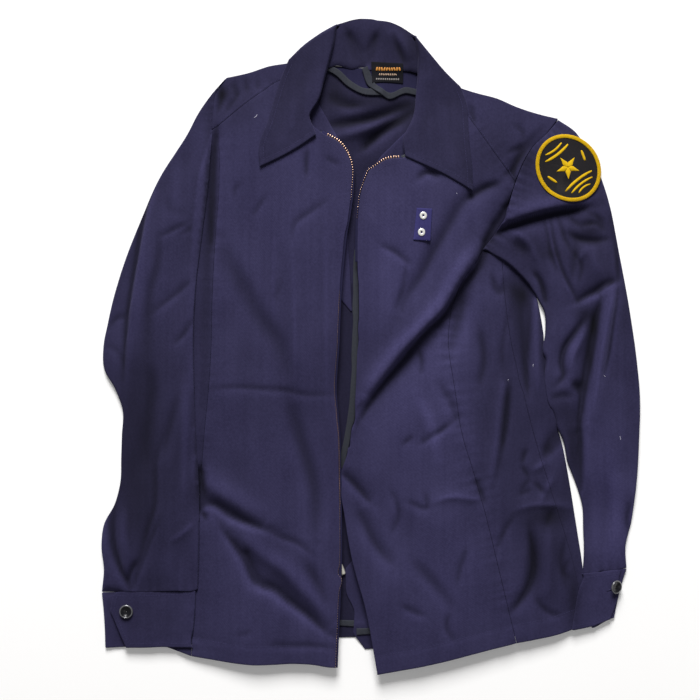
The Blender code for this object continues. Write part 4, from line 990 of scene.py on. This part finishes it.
# each leaf folds under at the top, and turns in along its roll line
for side, roll, rows, strip in (("right", "r", rollRows, slice(-12, None)),
                                ("left", "l", 1 - rollRows[::-1], slice(12))):
    plan = planOf(leafSides[side], leaf["step"], uAt=rows)
    collarWalls += [
        # painted shade: the leaves darker than the fronts of the same cloth
        makeWall(plan, "leaves", collarThick, "", {"t": "fallUnder", roll: "underLeaves"}, shade=0.7),
        makeWall(plan[:, strip], "underLeaves", collarThick, "", {roll: "leaves"}, down=True)]
makeCloth("collar_fall", collarWalls, navyTwill)
standPlan = planOf(standSides, stand["step"])
# painted shade: the stand darker than the fronts of the same cloth
standWall = makeWall(standPlan, "stand", collarThick, shade=0.68)
# its lower edge lies down: z - drop * exp(-(d / reach)^2)
standWall["outer"][..., 2] -= bulgeAt(runs(standPlan)["b"], stand["edgeDown"], 0, stand["edgeReach"])
makeCloth("collar_stand", [standWall], navyTwill)

# back: a lower and an upper wall that meet on a cross line, and the strip folded over at the left side
hemBack, sideBack, topBack, seamBack = sidesOf(back, "back")
foldLeft = sides["backReturn"][1]
cutRight, cutLeft = atHeight(seamBack, back["split"][0]), atHeight(sideBack, back["split"][1])
cross = np.array([seamBack[cutRight], foldLeft[-1]])
lowerSides = joinSides([hemBack, foldLeft, cross[::-1], seamBack[cutRight:]], 1, foldLeft)
upperSides = joinSides([cross, sideBack[cutLeft:], topBack, seamBack[:cutRight + 1]], 0, cross)
uAcross = fractions(back["width"], back["lowerStep"])
foldRows = fractions(lengthAlong(foldLeft)[-1], back["foldStep"])
# painted shade on the back seen inside the opening: 0.45 of the cloth's colour below, 0.6 above
backWalls = [
    makeWall(coons(lowerSides, uAcross, foldRows), "backLow", clothThick, joins="t", down=True,
             partners={"r": "body"}, shade=0.45),
    makeWall(coons(upperSides, uAcross, fractions(back["upperLength"], back["upperStep"])), "backLow",
             clothThick, joins="b", down=True, shade=0.6),
    makeWall(planOf(sides["backReturn"], vAt=foldRows), "body", clothThick, "lt", {"r": "backLow"}),
]
neckDark = softSpots((                            # in the shade of the collar and in the folds below it
    (-2, 283, 50, 12, -0.45), (-42, 300, 12, 22, -0.4), (46, 272, 18, 16, -0.4), (-38, 254, 16, 7, -0.25),
    (25, 258, 18, 6, -0.35), (3, 239, 9, 8, -0.3), (14, 229, 14, 14, 0.1)))
backWalls[1]["shade"] *= 1 + readField(neckDark, backWalls[1]["outer"])
makeCloth("back", backWalls, navyTwill)
print("back and collar built")

sideFold = sides["sideRightTop"][3]
sideRows = fractions(lengthAlong(sideFold)[-1], sideRightTop["step"])
sideUnder = joinSides(sidesOf(sideRightUnder, "side_panel_right"), 3, sideFold)
makeCloth("side_panel_right", [
    makeWall(planOf(sideUnder, sideRightUnder["step"], vAt=sideRows), "backLow", clothThick, down=True,
             partners={"l": "body"}),
    # painted shade: the strip beside the sleeve darker than the rest of the cloth
    makeWall(planOf(sides["sideRightTop"], vAt=sideRows), "body", clothThick, "rt", {"l": "backLow"},
             shade=0.8),
], navyTwill)
for name, node, seams in (("frontRight", "front_right", "lt"), ("frontLeft", "front_left", "rt"),
                          ("sideLeft", "side_panel_left", "lrt"), ("yokeRight", "yoke_right", "lbt"),
                          ("yokeLeft", "yoke_left", "rbt")):
    makeCloth(node, [makeWall(planOf(sides[name]), "body", clothThick, seams)], navyTwill)
cuffRows = fractions(cuff["length"], cuff["step"])
for side, lapSide, tabSide in (("right", "l", "r"), ("left", "r", "l")):
    plan = planOf(sides["sleeve" + side.title()])
    makeCloth("sleeve_" + side, [
        makeWall(plan, "sleeveLow", clothThick, "bt", dict.fromkeys("lr", "sleeveHigh"), down=True),
        makeWall(plan, "sleeveHigh", clothThick, "bt", dict.fromkeys("lr", "sleeveLow"))], navyTwill)
    low = cuffSides[side, "low"]
    walls = [makeWall(planOf(low, cuff["step"], vAt=cuffRows), "sleeveLow", clothThick, "t",
                      {lapSide: "sleeveHigh", tabSide: "cuffTop"}, down=True)]
    for part, shared, top in (("lap", lapSide, "sleeveHigh"), ("tab", tabSide, "cuffTop")):
        number = "brtl".index(shared)
        lines = joinSides(cuffSides[side, part], number, low[number])
        walls.append(makeWall(planOf(lines, cuff["step"], vAt=cuffRows), top, clothThick, "t",
                              {shared: "sleeveLow"}))
    makeCloth("cuff_" + side, walls, navyTwill)
# the tapes rise with the fronts over them
tops["zip"] = tapeTop = np.maximum(tops["tapes"], tops["body"] - jacket["tapeBelow"])
paintedCreaseShade["zip"] = paintedCreaseShade["tapes"]
# facings, bindings and tapes: settings, node, group, thickness, cloth and slot
insides = (
    (facingRight, "facing_right", "facings", clothThick, navyTwill, "navy_twill_inside"),
    (facingLeft, "facing_left", "facings", clothThick, navyTwill, "navy_twill_inside"),
    (facingLower, "facing_left_lower", "innerTrim", clothThick, navyTwill, "navy_twill_inside"),
    (neckFacingRight, "neck_facing_right", "facings", clothThick, insideTwill, "navy_twill_inside"),
    (neckFacingLeft, "neck_facing_left", "tapes", trimThick, insideTwill, "navy_twill_inside"),
    (neckBindingRight, "neck_binding_right", "innerTrim", trimThick, greyBinding, "grey_binding"),
    (neckBindingLeft, "neck_binding_left", "box", trimThick, greyBinding, "grey_binding"),
    (frontBindingLeft, "front_binding_left", "innerTrim", trimThick, greyBinding, "grey_binding"),
    (hemBinding, "hem_binding", "facings", trimThick, greyBinding, "grey_binding"),
    (lowerBinding, "lower_binding", "tapes", trimThick, greyBinding, "grey_binding"),
    (zipTapeRight, "zip_tape_right", "zip", trimThick, insideTwill, "zip_brass"),
    (zipTapeLeft, "zip_tape_left", "zip", trimThick, insideTwill, "zip_brass"),
)
for piece, node, group, thick, material, slotName in insides:
    lines = sidesOf(piece, node)
    if piece is frontBindingLeft:                 # it narrows under the front's edge at its top
        below = np.maximum(piece["top"] - lines[3][:, 1], 0)
        lines[3][:, 0] += piece["narrow"] * np.exp(-below / piece["reach"])
        lines[2] = np.array([lines[1][-1], lines[3][0]])
    # painted shade: navy facings inside the opening at 0.85 of the cloth's colour
    wall = makeWall(planOf(lines, jacket["trimStep" if thick == trimThick else "insideStep"]), group, thick,
                    shade=0.85 if material is navyTwill else 1.0)
    if "raw" in piece:                            # paler raw end above the teeth: axis, place and shade
        axis, place, paler = piece["raw"]
        wall["shade"] = np.where(wall["outer"][..., axis] > place, paler, 1.0)
    makeCloth(node, [wall], material)
print("cloth built")

# small pieces

def tubes(name, rings, material, nodes=()):
    # bars of eight-sided rings (bars, rings, 8, xyz), closed at both ends
    bars, count = rings.shape[:2]
    i = np.arange(8 * (count - 1)).reshape(-1, 8)
    cap = np.array([(7, 2, 1, 0), (6, 3, 2, 7), (5, 4, 3, 6)])
    quads = np.vstack([np.stack([i, np.roll(i, -1, 1), np.roll(i, -1, 1) + 8, i + 8], -1).reshape(-1, 4), cap,
                       cap[:, ::-1] + 8 * (count - 1)])
    quads = (quads[None] + 8 * count * np.arange(bars)[:, None, None]).reshape(-1, 4)
    placed(newMesh(name, rings, quads, material), nodes)


ringAt = np.linspace(0, 2 * math.pi, 8, endpoint=False)


def bars(line, pitch, size, field, lift, wide=(1, 1), turn=0.0, crooked=0.0, seed=1):
    # rings of short rounded bars set along a line: size is (along, across, high), and wide scales the second
    # down the line; crooked is the spread of their turns
    run = lengthAlong(line)[-1]
    at = np.arange(pitch / 2, run, pitch) / run
    place, ahead = readAt(line, at), readAt(line, at + 0.6 / run) - readAt(line, at - 0.6 / run)
    angle = np.arctan2(ahead[:, 1], ahead[:, 0]) + turn
    angle += np.random.default_rng(seed).normal(0, crooked, len(at)) if crooked else 0
    swell = np.interp(at, np.linspace(0, 1, len(wide)), wide)[:, None, None]
    size = np.array(size)[:, None, None] / 2
    x = np.array((-1, -0.7, 0.7, 1))[None, :, None] * size[0] + 0 * swell
    taper = np.array((0.5, 1, 1, 0.5))[None, :, None]
    y = taper * np.cos(ringAt) * size[1] * swell
    c, s = np.cos(angle)[:, None, None], np.sin(angle)[:, None, None]
    z = readField(field, place)[:, None, None] + lift + taper * np.sin(ringAt) * size[2] + 0 * y
    return np.stack([place[:, :1, None] + c * x - s * y, place[:, 1:, None] + s * x + c * y, z], -1)


def cord(line, wide, high, field, lift):
    # rings of one cord along a line, its width and height read at even fractions
    share = np.linspace(0, 1, len(line))
    wide, high = (np.interp(share, np.linspace(0, 1, len(v)), v)[:, None] / 2 for v in (wide, high))
    flat = line[:, None] + leftOf(line)[:, None] * (np.cos(ringAt) * wide)[..., None]
    z = readField(field, line)[:, None] + lift + np.sin(ringAt) * high
    return np.dstack([flat, z])[None]


def turned(name, profile, centre, height, material, slotName, ratio=1.0, turn=0.0, lean=(0, 0), field=None,
           sides=48, nodes=()):
    # a closed profile of (radius, height) turned round z: r * (cos a, ratio * sin a), turned in plan,
    # leant by lean (radians about y and x), lifted by a field where one is given
    a = np.linspace(0, 2 * math.pi, sides, endpoint=False)
    r, z = np.array(profile, float).T
    u, v = r[:, None] * np.cos(a), ratio * r[:, None] * np.sin(a)
    x = (u * math.cos(turn) - v * math.sin(turn)) * math.cos(lean[0])
    y = (u * math.sin(turn) + v * math.cos(turn)) * math.cos(lean[1])
    z = height + z[:, None] + x * math.tan(lean[0]) + y * math.tan(lean[1])
    x, y = centre[0] + x, centre[1] + y
    if field is not None:
        z = z + readField(field, np.stack([x, y], -1))
    i = np.arange((len(r) - 1) * sides).reshape(-1, sides)
    quads = np.stack([i + sides, np.roll(i, -1, 1) + sides, np.roll(i, -1, 1), i], -1).reshape(-1, 4)
    placed(newMesh(name, np.stack([x, y, z], -1), quads, material), nodes)


def shiny(name, color, metallic, roughness):
    # metal, plastic or bright thread, handled: its shine is broken by fine scuffs
    material, tree, shader = newMaterial(name, Base_Color=toLinear(color), Metallic=metallic)
    where = addNode(tree, "ShaderNodeTexCoord")
    scuffs = addNode(tree, "ShaderNodeTexNoise", {"Vector": where.outputs["Object"]}, Scale=900.0, Detail=3.0)
    rough = addNode(tree, "ShaderNodeMapRange", {"Value": scuffs.outputs["Fac"]}, To_Min=roughness * 0.7,
                    To_Max=roughness * 1.4)
    tree.links.new(rough.outputs["Result"], shader.inputs["Roughness"])
    return material


# zip: brass teeth flat on the tape at the neck, seen on edge further down. Widths, and how far they show past
# the front's edge, are read at even steps from the neck down
brass = shiny("zip_brass", "#d2ad92", 0.85, 0.3)
zipTeeth = {"pitch": 2.9, "size": (1.35, 4.4, 1.7), "right": (1, 0.75, 0.32, 0.2) + (0.17,) * 17,
            "left": (1, 0.9, 0.5, 0.28, 0.2, 0.15, 0.1), "out": 1.3, "hidden": 0.1, "lift": 0.5,
            "show": (1, 0.8, 0.3, -0.3, -0.6, -0.6, 0, 0, 0, 0, 0, 0.5, 0.6, 0.5, 0, 0, 0, 0, 0, 0),
            "neckRight": (-52, 245), "neckLeft": (34, 216), "leftEnd": 145.0}
neckRight = nearestPoint(edgeRight, zipTeeth["neckRight"])
neckLeft = nearestPoint(edgeLeft, zipTeeth["neckLeft"])
downRight = edgeRight[:neckRight][::-1]
share, shareAt = np.linspace(0, 1, len(downRight)), np.linspace(0, 1, len(zipTeeth["show"]))
past = np.interp(share, shareAt, zipTeeth["show"])[:, None]
past = past * (zipTeeth["out"] + zipTeeth["hidden"]) - zipTeeth["hidden"]
zipRight = downRight + leftOf(downRight) * past
zipLeft = offsetLine(edgeLeft[neckLeft:atHeight(edgeLeft, zipTeeth["leftEnd"])], -zipTeeth["out"])
teeth = [bars(line, zipTeeth["pitch"], zipTeeth["size"], tapeTop, zipTeeth["lift"], zipTeeth[side])
         for side, line in (("right", zipRight), ("left", zipLeft))]
tubes("zip_teeth", np.vstack(teeth), brass)

# box at the lower end of the zip: width and height read along it
zipBox = {"centre": (-34.0, -256.0), "size": (15.0, 6.0, 2.6), "turn": math.radians(108), "lift": 0.2,
          "along": (-0.5, -0.46, -0.4, 0, 0.4, 0.46, 0.5), "wide": (0.7, 0.9, 1, 1, 0.8, 0.7, 0.5),
          "high": (0.5, 0.9, 1, 1, 1, 0.9, 0.5)}
boxMetal = shiny("zip_box_metal", "#d8d4c8", 0.3, 0.3)
boxLong, boxWide, boxHigh = (np.array(zipBox[key]) * size
                             for key, size in zip(("along", "wide", "high"), zipBox["size"]))
boxLine = np.array(zipBox["centre"]) + np.outer(boxLong, (math.cos(zipBox["turn"]), math.sin(zipBox["turn"])))
tubes("zip_box_metal", cord(boxLine, boxWide, boxHigh, tops["box"], zipBox["lift"]), boxMetal,
      ("zip_box",))

# raw cotton ends of the tapes
tapeCotton = twillCloth("tape_cotton", "#3f4248", "#5a5c60", sheen=0.1, bumpHeight=0.02)
tapeEnds = {"starts": ((-57, 241), (38, 220.5)), "ways": ((0.55, 0.83), (0.3, -0.95)), "length": 4,
            "pitch": 0.55, "size": (0.5, 9.0, 0.5), "lift": 0.15, "crooked": 0.35}
threads = []
for k, (start, way) in enumerate(zip(tapeEnds["starts"], tapeEnds["ways"])):
    ends = np.array(start) + np.outer((0, tapeEnds["length"]), way)
    threads.append(bars(ends, tapeEnds["pitch"], tapeEnds["size"], tapeTop, tapeEnds["lift"],
                        crooked=tapeEnds["crooked"], seed=70 + k))
tubes("zip_tape_ends", np.vstack(threads), tapeCotton)

# badge tab and its eyelets
badgeTab = {"corners": ((49, 122), (69, 121), (71, 158), (53, 159)), "eyelets": ((60, 150), (58, 131)),
            "ratio": 1.08}
badgeTwill = twillCloth("badge_tab_twill", "#282550", "#33305e")
tabPlan = planOf(sidesOf(badgeTab, "badge_tab"), jacket["smallStep"])
makeCloth("badge_tab", [makeWall(tabPlan, "trim", jacket["badge"])], badgeTwill)
nickel = shiny("nickel", "#e9e8e2", 0.25, 0.25)
# profiles are closed lines of (radius, height)
ringProfile = [(1.1, 0.1), (1.2, 0.5), (1.7, 0.85), (2.5, 0.95), (3.3, 0.9), (3.9, 0.7), (4.2, 0.25),
               (4.2, 0.05), (1.1, 0.1)]
for node, centre in zip(("eyelet_upper", "eyelet_lower"), badgeTab["eyelets"]):
    turned(node + "_ring", ringProfile, centre, 0.0, nickel, "nickel", badgeTab["ratio"], field=tops["trim"],
           nodes=(node,))

# cuff buttons: plated rim round a dished dark middle
buttonPlastic = shiny("button_plastic", "#0c0c12", 0.0, 0.25)
rimMetal = shiny("button_rim", "#77777a", 0.6, 0.22)
buttons = {
    "dish": [(0.05, 0.6), (1.4, 0.65), (2.6, 0.95), (3.6, 1.45), (4.6, 2.0), (5.6, 2.55), (6.3, 2.9),
             (6.4, 0.4), (0.05, 0.4), (0.05, 0.6)],
    "rim": [(6.1, 2.6), (6.4, 3.1), (6.9, 3.2), (7.5, 2.8), (7.9, 2.0), (7.9, 1.2), (7.2, 0.6), (6.1, 0.5),
            (6.1, 2.6)],
    "places": {"right": ((-281.5, -305), (0.0, 0.0)), "left": ((282.5, -276.6), (-0.5, 0.1))},
    "radius": 8,
}
for side, (centre, lean) in buttons["places"].items():
    # on the cloth; a leaning one is raised by half of its edge's drop
    at = float(readField(tops["cuffTop"], np.array(centre)))
    at += buttons["radius"] * abs(math.sin(lean[0])) * 0.5
    turned(f"button_{side}_middle", buttons["dish"], centre, at, buttonPlastic, "button_plastic", lean=lean,
           nodes=("button_" + side,))
    turned(f"button_{side}_rim", buttons["rim"], centre, at, rimMetal, "nickel", lean=lean)

# shoulder patch: embroidered oval with a star between bars, merrowed edge
patch = {"centre": (227, 205), "half": (37.0, 41.0), "turn": math.radians(38),
         "edge": (4.6, 1.35, 1.5), "edgePitch": 1.15, "edgeSlant": 0.25, "sunk": 0.3, "fieldDown": 0.7,
         "ground": 35.5, "groundHigh": 0.75, "star": 14.0, "rise": 1.0, "bow": 2.0,
         "bars": ((-17, 22, 17, 22, 3.2), (-12, 28, 12, 28, 2.6), (-20, -19, 20, -19, 3.2),
                  (-16, -25, 16, -25, 2.6), (-9, -30, 9, -30, 2.2), (-25, 7, -21, -5, 3.0),
                  (21, -5, 25, 7, 3.0))}
patchGround = twillCloth("patch_ground", "#181718", "#221f21", sheen=0.1)
satin = twillCloth("patch_embroidery", "#bd9606", "#d8b112", sheen=0.1, bumpHeight=0.1)
ratio = patch["half"][1] / patch["half"][0]
outer, high = patch["ground"], patch["groundHigh"]
disc = [(r, high) for r in (0.05, *range(4, 34, 4), outer)] + [(outer, 0.1), (0.05, 0.1), (0.05, high)]
turned("patch_ground_cloth", disc, patch["centre"], -patch["sunk"], patchGround, "patch_embroidery", ratio,
       patch["turn"], field=tops["trim"] - patch["fieldDown"], sides=96, nodes=("shoulder_patch",))


def onPatch(points):
    # from the patch's own right and up to the jacket's x and y: centre + x * right + y * up
    c, s = math.cos(patch["turn"]), math.sin(patch["turn"])
    return np.array(patch["centre"]) + points[:, :1] * np.array((c, s)) + points[:, 1:2] * np.array((-s, c))


middle = patch["half"][0] - patch["edge"][0] / 2
around = np.linspace(0, 2 * math.pi, 200)
edgeLine = onPatch(np.c_[middle * np.cos(around), middle * ratio * np.sin(around)])
tubes("patch_merrowed_edge", bars(edgeLine, patch["edgePitch"], patch["edge"], tops["trim"], 0.0,
                                  turn=math.pi / 2 - patch["edgeSlant"], crooked=0.04), satin)
motifs = []
for angle in np.radians(90 + 72 * np.arange(5)):      # star: five arms
    arm = np.outer(np.linspace(0.4, patch["star"], 9), (math.cos(angle), math.sin(angle)))
    motifs.append(cord(onPatch(arm + (0, patch["rise"])), (1.6, 4.6, 7.0, 5.0, 3.3, 1.8, 0.3),
                       (1.6, 1.5, 1.3, 1.1, 0.7), tops["trim"], -0.1))
for x0, y0, x1, y1, wide in patch["bars"]:            # the long ones bow outwards
    x, y = np.linspace((x0, y0), (x1, y1), 9).T
    if x1 - x0 > 9:
        y = y - (1 - np.linspace(-1, 1, 9) ** 2) * patch["bow"] * np.sign(y0)
    motifs.append(cord(onPatch(np.c_[x, y]), wide * np.array((0.5, 1, 1, 1, 1, 0.5)), (0.9, 1.2, 1.2, 0.9),
                       tops["trim"], -0.1))
tubes("patch_motifs", np.vstack(motifs), satin)

# label: dark woven ribbon with three rows of plain stitches, without letters
label = {"lift": 0.12, "crooked": 0.25, "rows": (     # name, from x, to x, y, pitch, size and colour
    ("first", 5.5, 34, 319.3, 2.9, (2.1, 4.4, 0.4), "#b5782a"),
    ("second", 9, 30, 313.2, 2.1, (1.3, 2.4, 0.3), "#a88e78"),
    ("third", 5.5, 34, 307.8, 2.5, (1.8, 2.2, 0.3), "#77726f"))}
ribbon = twillCloth("label_cloth", "#0b0b10", "#15141a", sheen=0.1)
low, high = (find(outlines["label"][0][:, :2], axis=0) for find in (np.min, np.max))
label["corners"] = (low, (high[0], low[1]), high, (low[0], high[1]))
labelPlan = planOf(sidesOf(label, "label"), jacket["smallStep"])
makeCloth("label", [makeWall(labelPlan, "label", jacket["ribbon"])], ribbon,
          "label_cloth_ribbon")
for k, (name, x0, x1, y, pitch, size, color) in enumerate(label["rows"]):
    row = bars(np.array([(x0, y), (x1, y)]), pitch, size, tops["label"], label["lift"],
               crooked=label["crooked"], seed=60 + k)
    tubes("label_row_" + name, row, shiny("label_thread_" + name, color, 0.2, 0.5))

# topstitching in navy thread, a shade paler than the cloth, and a few caught threads of lint
thread = twillCloth("navy_thread", "#2e2b4a", "#3a3758", sheen=0.1, bumpHeight=0.02)
stitches = {"pitch": 2.9, "size": (2.2, 0.5, 0.32), "lift": 0.02, "crooked": 0.02, "front": 6.5, "yoke": 1.8,
            "collar": 5.5, "cuff": 4.5, "cuffSides": {"right": (0, 2, 3), "left": (0, 1, 2)}}
topstitched = {                                       # group, line and distance from it
    "body": [("body", hem, jacket["hem"]) for hem in hems]
            + [("body", edge, stitches["front"]) for edge in (edgeRight[:neckRight], edgeLeft[neckLeft:])]
            + [("body", sides[name][0], stitches["yoke"]) for name in ("yokeRight", "yokeLeft")],
    "collar": [("leaves", edge, stitches["collar"]) for edge in leafEdges],
    "cuff": [("cuffTop", cuffSides[side, "tab"][k], stitches["cuff"])
             for side, numbers in stitches["cuffSides"].items() for k in numbers],
}
for name, seamRows in topstitched.items():
    rows = [bars(offsetLine(line, offset)[2:-2], stitches["pitch"], stitches["size"], tops[group],
                 stitches["lift"], crooked=stitches["crooked"]) for group, line, offset in seamRows]
    tubes(name + "_topstitching", np.vstack(rows), thread)
lintCloth = newMaterial("lint", Base_Color=toLinear("#c9c6d8"), Roughness=0.9)[0]
specks = (
    ("body", (187, -20), (186.4, -22), (187.2, -24.5)), ("body", (157, -39), (158.3, -38), (159, -38.6)),
    ("sleeveHigh", (267, -33), (268.4, -34.3), (270, -33.8)),
    ("body", (-134.5, 263), (-131.6, 265), (-130.4, 269)), ("leaves", (98, 176), (98.8, 175), (99.6, 175.4)),
    ("sleeveHigh", (286, -103), (287, -106), (285.6, -109)))
lint = [cord(smoothLine(knots, math.dist(knots[0], knots[2]) / 6)[:6], (0.25, 0.5, 0.3), (0.25, 0.35, 0.25),
             tops[group], 0.15) for group, *knots in specks]
tubes("lint_threads", np.vstack(lint), lintCloth)
print("trims built")


# stage, light and camera
studio = {
    "floor": 6.0, "floorColor": "#f4f3f2", "floorDrop": -0.3, "floorGlow": 0.14, "sky": 0.17,
    # place, size and power
    "lamps": {"key": ((-0.3, 4.2, 2.7), 2.2, 420.0), "fill": ((0.6, -1.2, 2.4), 1.8, 4.0)},
    "camera": (-0.024, -0.004, 1.4615), "lens": 65.0, "sensor": 36.0,
}
# a lit table, so that the floor stays white to its edges
floorMaterial = newMaterial("studio_floor", Roughness=0.9, Emission_Strength=studio["floorGlow"],
                            Emission_Color=(1, 1, 1, 1), Base_Color=toLinear(studio["floorColor"]))[0]
half = studio["floor"] / 2 / mm
floorCorners = [(x * half, y * half, studio["floorDrop"]) for x, y in ((-1, -1), (1, -1), (1, 1), (-1, 1))]
newMesh("studio_floor", floorCorners, [(0, 1, 2, 3)], floorMaterial)
scene = bpy.context.scene
scene.world = world = bpy.data.worlds.new("studio")
world.use_nodes = True
sky = world.node_tree.nodes["Background"].inputs
sky["Color"].default_value = (1, 1, 1, 1)
sky["Strength"].default_value = studio["sky"]
for name, (place, size, power) in studio["lamps"].items():
    lamp = bpy.data.lights.new(name, "AREA")
    lamp.energy, lamp.size = power, size
    light = bpy.data.objects.new(name, lamp)
    scene.collection.objects.link(light)
    light.location = place
    light.rotation_mode = "QUATERNION"
    light.rotation_quaternion = (-light.location).to_track_quat("-Z", "Y")     # at the middle of the jacket
lens = bpy.data.cameras.new("camera")
lens.lens, lens.sensor_width = studio["lens"], studio["sensor"]
scene.camera = camera = bpy.data.objects.new("camera", lens)
scene.collection.objects.link(camera)
camera.location = studio["camera"]                    # straight above, looking down
scene.view_settings.view_transform = "Standard"
